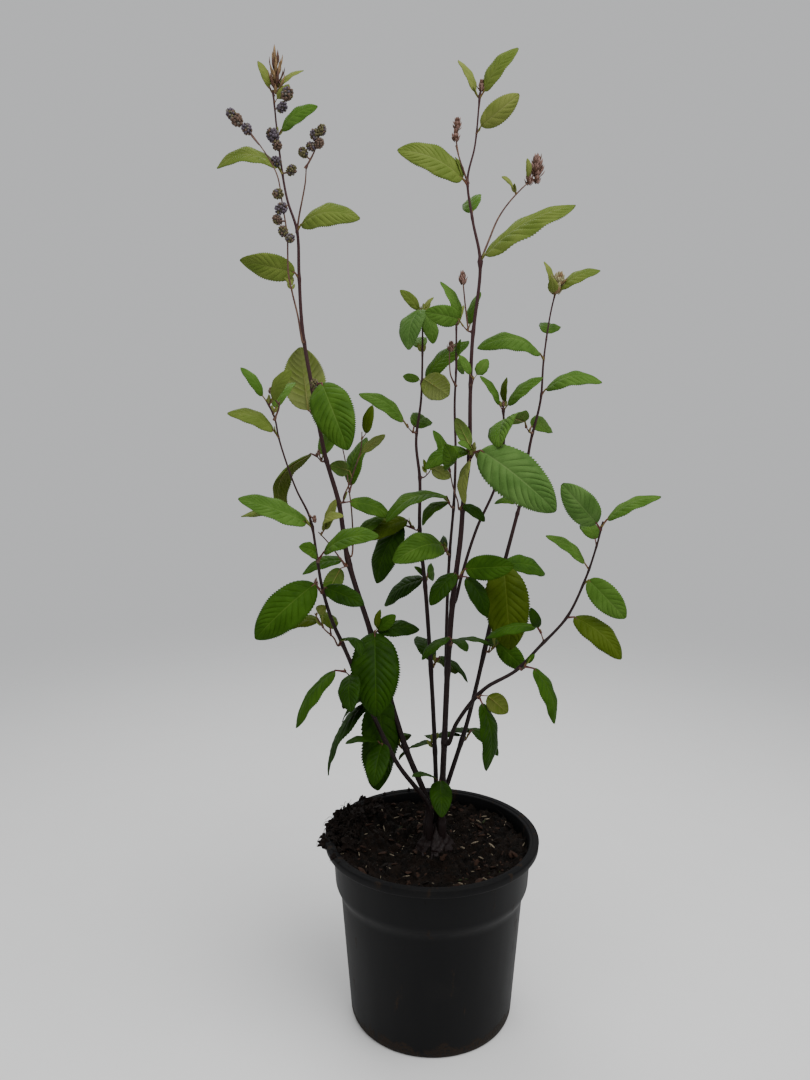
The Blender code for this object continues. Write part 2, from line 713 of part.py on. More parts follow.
def stemOf(mass, limb):
    """The twigs of a mass, each its points and its first and last radius, its own stem first."""
    if "at" not in mass:
        start = limb["end"] + seat * mm / lengthOf(limb["line"])
        shares = spanned(limb["line"], start, 1, limbStep / 2)
        stem = [along(limb["line"], share)[0] for share in shares]
        twigs = [(stem, limbWidth(limb, start) / 2, limbWidth(limb, 1) / 2)]
        for (height, *first), *rest in mass.get("twigs", []):
            node = along(limb["line"], shareAt(limb["line"], height))[0]
            points = curve([node / mm + Vector(step) for step in [first] + rest], 2)
            twigs.append((points, twigWidth / 2, twigEndWidth / 2))
        return twigs
    root = along(limb["line"], shareAt(limb["line"], mass["at"]))[0] / mm
    if "twig" in mass:
        steps = [root + Vector(step) for step in mass["twig"]]
        points = leaving(limb, mass["at"], steps[0] - root) + steps
        return [(curve(points, 2), twigWidth / 2, twigEndWidth / 2)]
    side = Vector((*mass["side"], 0)).normalized()
    points = leaving(limb, mass["at"], side)
    rise = math.radians(spurRise)
    points.append(points[-1] + (side * math.cos(rise) + up * math.sin(rise)) * (spurLength - squareLength))
    return [([point * mm for point in points], twigWidth / 2, twigEndWidth / 2)]


def growMasses(grown):
    """Every mass's twigs, leaves and buds, placed in turn so that no leaf touches what is there."""
    plan = plannedMasses()
    stems = []
    for name, limb in grown.items():
        points = [along(limb["line"], share)[0] for share in spanned(limb["line"], 0, 1, limbStep / 2)]
        last = limbWidth(limb, 1) / 2 + clearance
        stems.append((name, treeOf(tapered(points, limb["width"][0] / 2 + clearance, last, limbSides))))
    for name, mass in plan.items():
        mass["stem"] = stemOf(mass, grown[mass["on"]])
        for points, first, last in mass["stem"][0 if "at" in mass else 1:]:
            if lengthOf(points) > 2 * spurLength * mm:
                fat = tapered(points, first + clearance / 2, last + clearance / 2, limbSides)
                stems.append((name, treeOf(fat)))
    leaves = []
    for name, mass in plan.items():
        line = grown[mass["on"]]["line"]
        mass["grown"] = []
        for where, x, y, z, shown, *more in mass["leaves"]:
            anchor = along(line, shareAt(line, mass.get("at", where)))[0]
            start = along(mass["stem"][0][0], where * leafSeat)[0] if "at" in mass else anchor
            more = more[0] if more else {}
            if more.get("twig"):
                start = nearest(mass["stem"], anchor + Vector((x, y, z)) * mm)
            own = (name, mass["on"])
            leaf = placedLeaf(start, anchor + Vector((x, y, z)) * mm, shown, more, stems, leaves, own)
            if leaf:
                mass["grown"].append(leaf)
            else:
                print(name, "has no room for its leaf at", where, x, y, z)
        mass["budsAt"] = []
        for where, x, y, z, radius, *tall in mass.get("buds", []):
            anchor = along(line, shareAt(line, mass.get("at", where)))[0]
            mass["budsAt"].append((anchor + Vector((x, y, z)) * mm, radius, tall[0] if tall else radius))
    return plan


def nearest(stem, place):
    """The point of a mass's twigs that is nearest to a place."""
    points = [point for twig in stem for point in twig[0][:-1]]
    return min(points, key=lambda point: (point - place).length)


def wallLine():
    """The outside of the pot's wall, as radius and height, from its foot up to its lip."""
    return [(potFootRadius, potFootHeight), (potBodyRadius, potBodyHeight),
            (potCollarRadius, potCollarHeight), (potNeckRadius, potHeight - potLipHeight)]


def turned(profile, steps):
    """A solid turned about Z from a profile that starts and ends on the axis."""
    bm = bmesh.new()
    points = [bm.verts.new((r * mm, 0, z * mm)) for r, z in profile]
    edges = [bm.edges.new(pair) for pair in zip(points, points[1:])]
    bmesh.ops.spin(bm, geom=points + edges, cent=(0, 0, 0), axis=up, angle=math.tau, steps=steps,
                   use_merge=True)
    bmesh.ops.remove_doubles(bm, verts=bm.verts, dist=seam)
    bmesh.ops.recalc_face_normals(bm, faces=bm.faces)
    return bm


def soilHeight(x, y):
    """The soil's surface: flat round the foot, uneven beyond, and heaped at the left."""
    away = min(max((math.hypot(x, y) - soilFlat) / soilFlat, 0), 1)
    heap = heapHeight * math.exp(-((x - heapPlace[0]) ** 2 + (y - heapPlace[1]) ** 2) / heapSpread ** 2)
    wave = soilWave * math.sin(x * soilRipple[0] + 1) * math.cos(y * soilRipple[1])
    return soilLevel + away * (wave + heap)


def material(name, colour, roughness, metallic=0):
    made = bpy.data.materials.new(name)
    made.use_nodes = True
    shader = made.node_tree.nodes["Principled BSDF"]
    shader.inputs["Base Color"].default_value = (*colour, 1)
    shader.inputs["Roughness"].default_value = roughness
    shader.inputs["Metallic"].default_value = metallic
    return made


def thing(name, bm, finish):
    """An object with this mesh and material, placed in the scene."""
    mesh = bpy.data.meshes.new(name)
    bm.to_mesh(mesh)
    bm.free()
    mesh.shade_smooth()
    mesh.set_sharp_from_angle(angle=math.radians(smoothAngle))
    mesh.materials.append(finish)
    made = bpy.data.objects.new(name, mesh)
    bpy.context.scene.collection.objects.link(made)
    return made


def makePot(finish):
    """The pot: a tapering wall with a collar and a lip, and holes in its floor."""
    neck = potHeight - potLipHeight
    inside = [(radius - potWall, z) for radius, z in reversed(wallLine())]
    profile = [
        (0, 0), (potBaseRadius, 0), *wallLine(),
        (potLipRadius - potLipBevel / 2, neck),
        (potLipRadius, neck + potLipBevel), (potLipRadius, potHeight - potLipBevel),
        (potLipRadius - potLipBevel, potHeight), (potLipRadius - potLipWidth, potHeight),
        *inside, (inside[-1][0] - potWall, potFloor), (0, potFloor),
    ]
    pot = thing("pot", turned(profile, potTurns), finish)
    drill = bmesh.new()
    for i in range(drainCount):
        angle = math.tau * (i + 0.5) / drainCount
        place = Vector((math.cos(angle), math.sin(angle), 0)) * drainRing * mm
        bmesh.ops.create_cone(drill, cap_ends=True, segments=drainSides, radius1=drainRadius * mm,
                              radius2=drainRadius * mm, depth=4 * potFloor * mm,
                              matrix=Matrix.Translation(place))
    holes = thing("drain_holes_cutter", drill, finish)
    holes.hide_render = True
    holes.display_type = "WIRE"
    cut = pot.modifiers.new("drain holes", "BOOLEAN")
    cut.object = holes
    cut.operation = "DIFFERENCE"


def makeSoil(finish):
    """The soil that fills the pot, clear of its wall and floor."""
    bottom = potFloor + soilGap
    flats = math.cos(math.pi / potTurns)        # the pot's wall is nearer at the middle of its flats
    low, body, collar, _ = [((radius - potWall) * flats - soilGap, z + soilGap) for radius, z in wallLine()]
    profile = [(0, bottom), (low[0] - potWall, bottom), low, body, collar, (collar[0], soilLevel)]
    profile += [(radius, soilLevel) for radius in soilRings] + [(0, soilLevel)]
    bm = turned(profile, soilTurns)
    for v in bm.verts:
        if v.co.z > (soilLevel - 1) * mm:
            v.co.z = soilHeight(v.co.x / mm, v.co.y / mm) * mm
    thing("soil", bm, finish)


def makeRootstock(finish):
    """The short woody foot, widest where it enters the soil."""
    base = soilLevel + soilGap
    count = len(footRadii) - 1
    points = [Vector((*footPlace, base + footHeight * i / count)) * mm for i in range(count + 1)]
    thing("rootstock", tube(points, [radius * mm for radius in footRadii], footSides), finish)


def makeLimb(name, limb, finish):
    shares = spanned(limb["line"], 0, limb["end"], limbStep)
    points = [along(limb["line"], share)[0] for share in shares]
    radii = [limbWidth(limb, share) / 2 * mm for share in shares]
    thing(name, tube(points, radii, limbSides), finish)


def closed(mesh):
    """Whether every edge of a mesh has two faces."""
    bm = bmesh.new()
    bm.from_mesh(mesh)
    whole = all(len(edge.link_faces) == 2 for edge in bm.edges)
    bm.free()
    return whole


def makeMass(name, mass, finish):
    """One mass: its stem, with its twigs, leaves and buds joined on by one Boolean union."""
    pieces = [tapered(points, first, last, twigSides) for points, first, last in mass["stem"]]
    pieces += [leafSolid(leaf) for leaf in mass["grown"]]
    pieces += [budSolid(mass["stem"], *bud) for bud in mass["budsAt"]]
    joined = thing(name, pieces[0], finish)
    rest = bpy.data.collections.new(name + "_pieces")
    bpy.context.scene.collection.children.link(rest)
    for i, bm in enumerate(pieces[1:]):
        piece = thing(f"{name}_piece_{i}", bm, finish)
        bpy.context.scene.collection.objects.unlink(piece)
        rest.objects.link(piece)
    union = joined.modifiers.new("join", "BOOLEAN")
    union.operation = "UNION"
    union.operand_type = "COLLECTION"
    union.collection = rest
    for union.solver in ("EXACT", "MANIFOLD"):
        bpy.context.view_layer.update()
        whole = bpy.data.meshes.new_from_object(joined.evaluated_get(bpy.context.evaluated_depsgraph_get()))
        if closed(whole):
            break
    joined.modifiers.clear()
    joined.data = whole
    for piece in list(rest.objects):
        bpy.data.objects.remove(piece)
    bpy.data.collections.remove(rest)


def main():
    for old in list(bpy.data.objects):
        bpy.data.objects.remove(old)
    plastic = material("pot plastic", (0.012, 0.012, 0.013), 0.42)
    peat = material("soil", (0.035, 0.022, 0.014), 0.95)
    bark = material("stem bark", (0.085, 0.03, 0.035), 0.5)
    foliage = material("foliage", (0.13, 0.27, 0.055), 0.45)
    makePot(plastic)
    makeSoil(peat)
    makeRootstock(bark)
    grown = growLimbs()
    for name, limb in grown.items():
        makeLimb(name, limb, bark)
    for name, mass in growMasses(grown).items():
        makeMass(name, mass, foliage)


main()
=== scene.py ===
# The looks of a young california lilac (Ceanothus) in its nursery pot.
# Blender's own units are metres, with +Z up and the front at -Y. The dictionaries are in millimetres.

import math
import random

import bmesh
import bpy
from mathutils import Matrix, Vector, noise
from mathutils.bvhtree import BVHTree


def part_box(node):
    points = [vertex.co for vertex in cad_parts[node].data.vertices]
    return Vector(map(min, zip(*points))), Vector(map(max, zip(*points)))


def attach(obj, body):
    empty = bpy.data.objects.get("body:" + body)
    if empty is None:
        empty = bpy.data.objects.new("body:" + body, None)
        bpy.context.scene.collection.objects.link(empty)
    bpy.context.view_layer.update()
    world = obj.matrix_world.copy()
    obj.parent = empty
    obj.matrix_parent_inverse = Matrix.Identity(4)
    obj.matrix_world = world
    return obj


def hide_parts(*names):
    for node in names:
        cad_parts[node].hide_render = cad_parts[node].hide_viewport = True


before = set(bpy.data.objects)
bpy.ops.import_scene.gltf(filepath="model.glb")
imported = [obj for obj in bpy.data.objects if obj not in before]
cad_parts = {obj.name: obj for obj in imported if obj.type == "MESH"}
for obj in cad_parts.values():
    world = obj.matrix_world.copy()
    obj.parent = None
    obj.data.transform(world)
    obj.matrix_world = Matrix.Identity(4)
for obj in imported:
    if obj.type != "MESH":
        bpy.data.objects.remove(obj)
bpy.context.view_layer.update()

mm = 0.001
up = Vector((0, 0, 1))
seam = 1e-6                     # points closer than this are one
goldenAngle = math.pi * (3 - math.sqrt(5))      # spreads what winds round an axis evenly
root = "root"


# Camera, light and floor

studio = dict(
    camera=(-22, -708.5, 521.3), tilt=9.66, lens=30.67, sensor=36, aim=(0, 0, 350),
    lights=dict(key=((500, -520, 1550), 1300, 23), fill=((-900, -700, 900), 900, 3),
                back=((-300, 900, 1300), 1000, 7)),     # each one's place, size and power
    sky=(0.93, 0.94, 0.955), skyStrength=0.62,
    floorRadius=1900, floorSides=96, floorFade=(420, 1500), floorGrain=40,
    floorColour=(0.74, 0.74, 0.735), floorShade=0.97,
)


def areaLight(name, place, size, power):
    data = bpy.data.lights.new(name, "AREA")
    data.shape = "DISK"
    data.size = size * mm
    data.energy = power
    light = bpy.data.objects.new(name, data)
    light.location = Vector(place) * mm
    light.rotation_euler = (Vector(place) - Vector(studio["aim"])).to_track_quat("Z", "Y").to_euler()
    bpy.context.scene.collection.objects.link(light)


def makeStudio():
    scene = bpy.context.scene
    data = bpy.data.cameras.new("front")
    data.lens = studio["lens"]
    data.sensor_width = studio["sensor"]
    camera = bpy.data.objects.new("front", data)
    camera.location = Vector(studio["camera"]) * mm
    camera.rotation_euler = (math.radians(90 - studio["tilt"]), 0, 0)
    scene.collection.objects.link(camera)
    scene.camera = camera
    for name, light in studio["lights"].items():
        areaLight(name, *light)
    world = bpy.data.worlds.new("sky")
    world.use_nodes = True
    sky = world.node_tree.nodes["Background"]
    sky.inputs["Color"].default_value = (*studio["sky"], 1)
    sky.inputs["Strength"].default_value = studio["skyStrength"]
    scene.world = world


# Shaders: a socket that adds and multiplies, and one method that makes any node

class Wire:
    def __init__(self, graph, socket):
        self.graph = graph
        self.socket = socket

    def __add__(self, other):
        return self.graph.maths("ADD", self, other)

    def __sub__(self, other):
        return self.graph.maths("SUBTRACT", self, other)

    def __rsub__(self, other):
        return self.graph.maths("SUBTRACT", other, self)

    def __mul__(self, other):
        return self.graph.maths("MULTIPLY", self, other)

    __radd__ = __add__
    __rmul__ = __mul__


class Graph:
    def __init__(self, name, **fixed):
        self.material = bpy.data.materials.new(name)
        self.material.use_nodes = True
        self.tree = self.material.node_tree
        self.shader = self.tree.nodes["Principled BSDF"]
        for socket, value in fixed.items():
            self.shader.inputs[socket.replace("_", " ")].default_value = value
        self.place = self.node("TexCoord", {}, {}, "Object")

    def node(self, kind, settings, inputs, output=0):
        made = self.tree.nodes.new("ShaderNode" + kind)
        for name, value in settings.items():
            setattr(made, name, value)
        for name, value in inputs.items():
            self.feed(made.inputs[name], value)
        return Wire(self, made.outputs[output])

    def feed(self, socket, value):
        if isinstance(value, Wire):
            self.tree.links.new(value.socket, socket)
        else:
            socket.default_value = (*value, 1) if socket.type == "RGBA" else value

    def maths(self, operation, a, b):
        return self.node("Math", dict(operation=operation), {0: a, 1: b})

    def mix(self, share, a, b):
        return self.node("Mix", dict(data_type="RGBA"), {0: share, 6: a, 7: b}, 2)

    def step(self, value, low, high):       # 0 below low, 1 above high, smooth between
        return self.node("MapRange", dict(interpolation_type="SMOOTHSTEP"),
                         {"Value": value, "From Min": low, "From Max": high})

    def stretched(self, x, y, z):
        return self.node("Mapping", {}, {"Vector": self.place, "Scale": (x, y, z)})

    def cloud(self, size, detail=3, vector=None):       # noise with features of this size in millimetres
        return self.node("TexNoise", {}, {"Vector": vector or self.place, "Scale": 1 / (size * mm),
                                          "Detail": detail})

    def cells(self, size, feature="F1"):
        return self.node("TexVoronoi", dict(feature=feature),
                         {"Vector": self.place, "Scale": 1 / (size * mm)}, "Distance")

    def height(self):
        return self.node("SeparateXYZ", {}, {"Vector": self.place}, "Z")

    def colour(self, value):
        self.feed(self.shader.inputs["Base Color"], value)

    def rough(self, value):
        self.feed(self.shader.inputs["Roughness"], value)

    def bump(self, height, depth, strength=1.0):        # depth in millimetres
        made = self.node("Bump", {}, {"Height": height, "Distance": depth * mm, "Strength": strength})
        self.feed(self.shader.inputs["Normal"], made)


# Pieces

def added(name, bm, materials=()):
    mesh = bpy.data.meshes.new(name)
    bm.to_mesh(mesh)
    bm.free()
    for material in materials:
        mesh.materials.append(material)
    made = bpy.data.objects.new(name, mesh)
    bpy.context.scene.collection.objects.link(made)
    return made


def piece(name, bm, materials, replaced, smooth=60):
    made = added(name, bm, materials)
    made.data.shade_smooth()
    made.data.set_sharp_from_angle(angle=math.radians(smooth))
    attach(made, root)
    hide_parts(*replaced)
    return made


def walled(made, thickness, backSlots=0):       # gives a sheet its thickness, behind its face
    wall = made.modifiers.new("thickness", "SOLIDIFY")
    wall.thickness = thickness * mm
    wall.offset = -1
    wall.material_offset = backSlots


def painted(verts, slot):
    for v in verts:
        for face in v.link_faces:
            face.material_index = slot


def joined(bm, part):       # adds a small mesh to a large one, quicker than shaping it in place
    mesh = bpy.data.meshes.new("part")
    part.to_mesh(mesh)
    part.free()
    bm.from_mesh(mesh)
    bpy.data.meshes.remove(mesh)


def makeFloor():
    floor = Graph("pale floor", Roughness=0.6, Specular_IOR_Level=0.25)
    low = tuple(value * studio["floorShade"] for value in studio["floorColour"])
    floor.colour(floor.mix(floor.cloud(studio["floorGrain"], 4), low, studio["floorColour"]))
    near, far = studio["floorFade"]
    reach = floor.node("VectorMath", dict(operation="LENGTH"), {0: floor.place}, "Value")
    solid = Wire(floor, floor.shader.outputs["BSDF"])
    clear = floor.node("BsdfTransparent", {}, {})
    shown = floor.node("MixShader", {}, {0: floor.step(reach, near * mm, far * mm), 1: solid, 2: clear})
    floor.feed(floor.tree.nodes["Material Output"].inputs["Surface"], shown)
    bm = bmesh.new()
    bmesh.ops.create_circle(bm, cap_ends=True, segments=studio["floorSides"],
                            radius=studio["floorRadius"] * mm)
    added("floor", bm, [floor.material])


# The plant, by the same rule and from the same values as its solids

eye = Vector((-22, -709, 521)) * mm     # the plant is looked at from here, so a leaf can turn its face
soilLevel = 142
footPlace = (3, 0)
footHeight = 22

seat = 0.3                              # air between a mass and the limb that carries it
clearance = 0.6                         # air that a leaf keeps to limbs and twigs
limbSides = 6
limbStep = 26                           # length of one straight stretch of a limb
leastWidth = 1.3                        # a stem's width at its tip
spurLength = 9
spurRise = 45                           # degrees above level
squareLength = 2                        # how far a twig runs straight out before it turns up
twigWidth = 2.2
twigEndWidth = 1.1
budStalk = 0.6
budSeated = 0.8                         # nearer to its twig than this share of its radius, it has no stalk
petioleLength = 9
petioleWidth = 1.3
petioleRise = 55
petioleMost = 0.35                      # the most of a leaf's reach that its petiole takes
leafSeat = 0.93                         # the last leaf of a twig starts this far along it
leafShape = 0.48                        # a leaf's width for its length
leafEnds = (0.6, 0.75)                  # how pointed its outline is at the base and at the tip
leafArch = 0.13                         # how far the midrib bows up for its length
leafFold = -0.14                        # how far the edges stand below the midrib
leafThin = 0.4                          # how much of the thickness is left at the ends
bladeEnd = 0.3                          # half the width of a blade at its very ends
testRings = (0.04, 0.2, 0.45, 0.75, 1)  # the part of a blade that is tested for touching
testThickness = 1.6
swings = (0, 7, -7, 14, -14, 22, -22, 32, -32)
lifts = (0, 8, -8, 16, -16, 26, -26)    # degrees, like the swings that a leaf tries to keep clear
firstSide = Vector((1, 0.3, 0.1))       # a direction that no stem runs in

# Each limb: what it rises from, its own line, and its width at the foot and at its end.
# A limb stops at its height "ends", and the rest of its line is the stem of its top mass.
limbs = {
    "left_leader": dict(
        foot="rootstock", width=(5.4, 2.6), ends=590,
        line=[(-3, 1, 180), (-22, 2, 230), (-49, 4, 324), (-67, 5, 384), (-74, 6, 430), (-84, 7, 466),
              (-93, 8, 516), (-100, 9, 561), (-102, 10, 602), (-103, 11, 634), (-110, 11, 657),
              (-115, 12, 690), (-119, 13, 733)],
    ),
    "left_shoot": dict(
        foot="rootstock", width=(4.2, 2.0), ends=406,
        line=[(-2, -5, 180), (-30, -16, 226), (-69, -30, 324), (-77, -35, 345), (-84, -39, 373),
              (-87, -43, 397), (-91, -47, 425), (-100, -51, 446), (-106, -55, 465), (-111, -58, 484),
              (-113, -60, 497), (-118, -62, 509)],
    ),
    "back_stem": dict(
        foot="rootstock", width=(4.4, 2.0), ends=505,
        line=[(4, 6, 180), (2, 14, 240), (-5, 25, 352), (-10, 30, 403), (-10, 35, 445), (-13, 38, 475),
              (-9, 41, 509), (-8, 45, 545), (-8, 48, 577)],
    ),
    "centre_leader": dict(
        foot="rootstock", width=(5.6, 2.4), ends=600,
        line=[(8, -2, 180), (10, -3, 240), (12, -4, 300), (16, -5, 359), (21, -6, 403), (23, -7, 434),
              (27, -7, 466), (27, -9, 510), (28, -10, 552), (33, -11, 609), (27, -12, 638),
              (23, -13, 666), (28, -13, 689), (31, -14, 724)],
    ),
    "right_stem": dict(
        foot="rootstock", width=(4.4, 2.0), ends=498,
        line=[(9, 4, 180), (30, 12, 250), (57, 22, 372), (67, 25, 412), (73, 27, 436), (78, 30, 473),
              (86, 33, 508), (88, 35, 540), (93, 38, 576), (97, 39, 594)],
    ),
    "thin_stem": dict(
        foot="centre_leader", at=296, width=(3.2, 1.8), ends=512,
        line=[(11, 4, 312), (12, 13, 350), (14, 17, 390), (17, 18, 430), (18, 20, 467), (17, 22, 505),
              (18, 24, 532), (18, 26, 566)],
    ),
    "right_shoot": dict(
        foot="centre_leader", at=352, width=(3.0, 1.9), ends=480,
        line=[(23, 5, 372), (35, 13, 408), (50, 17, 442), (56, 19, 477), (55, 20, 502)],
    ),
    "low_branch": dict(
        foot="centre_leader", at=236, width=(4.0, 2.2), ends=340,
        line=[(19, -14, 256), (39, -31, 290), (62, -36, 306), (79, -40, 326), (98, -45, 350),
              (110, -52, 382), (116, -58, 408), (119, -60, 424)],
    ),
}

limbNodes = [*limbs, "rootstock"]
massNodes = [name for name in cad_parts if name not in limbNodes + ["pot", "soil"]]

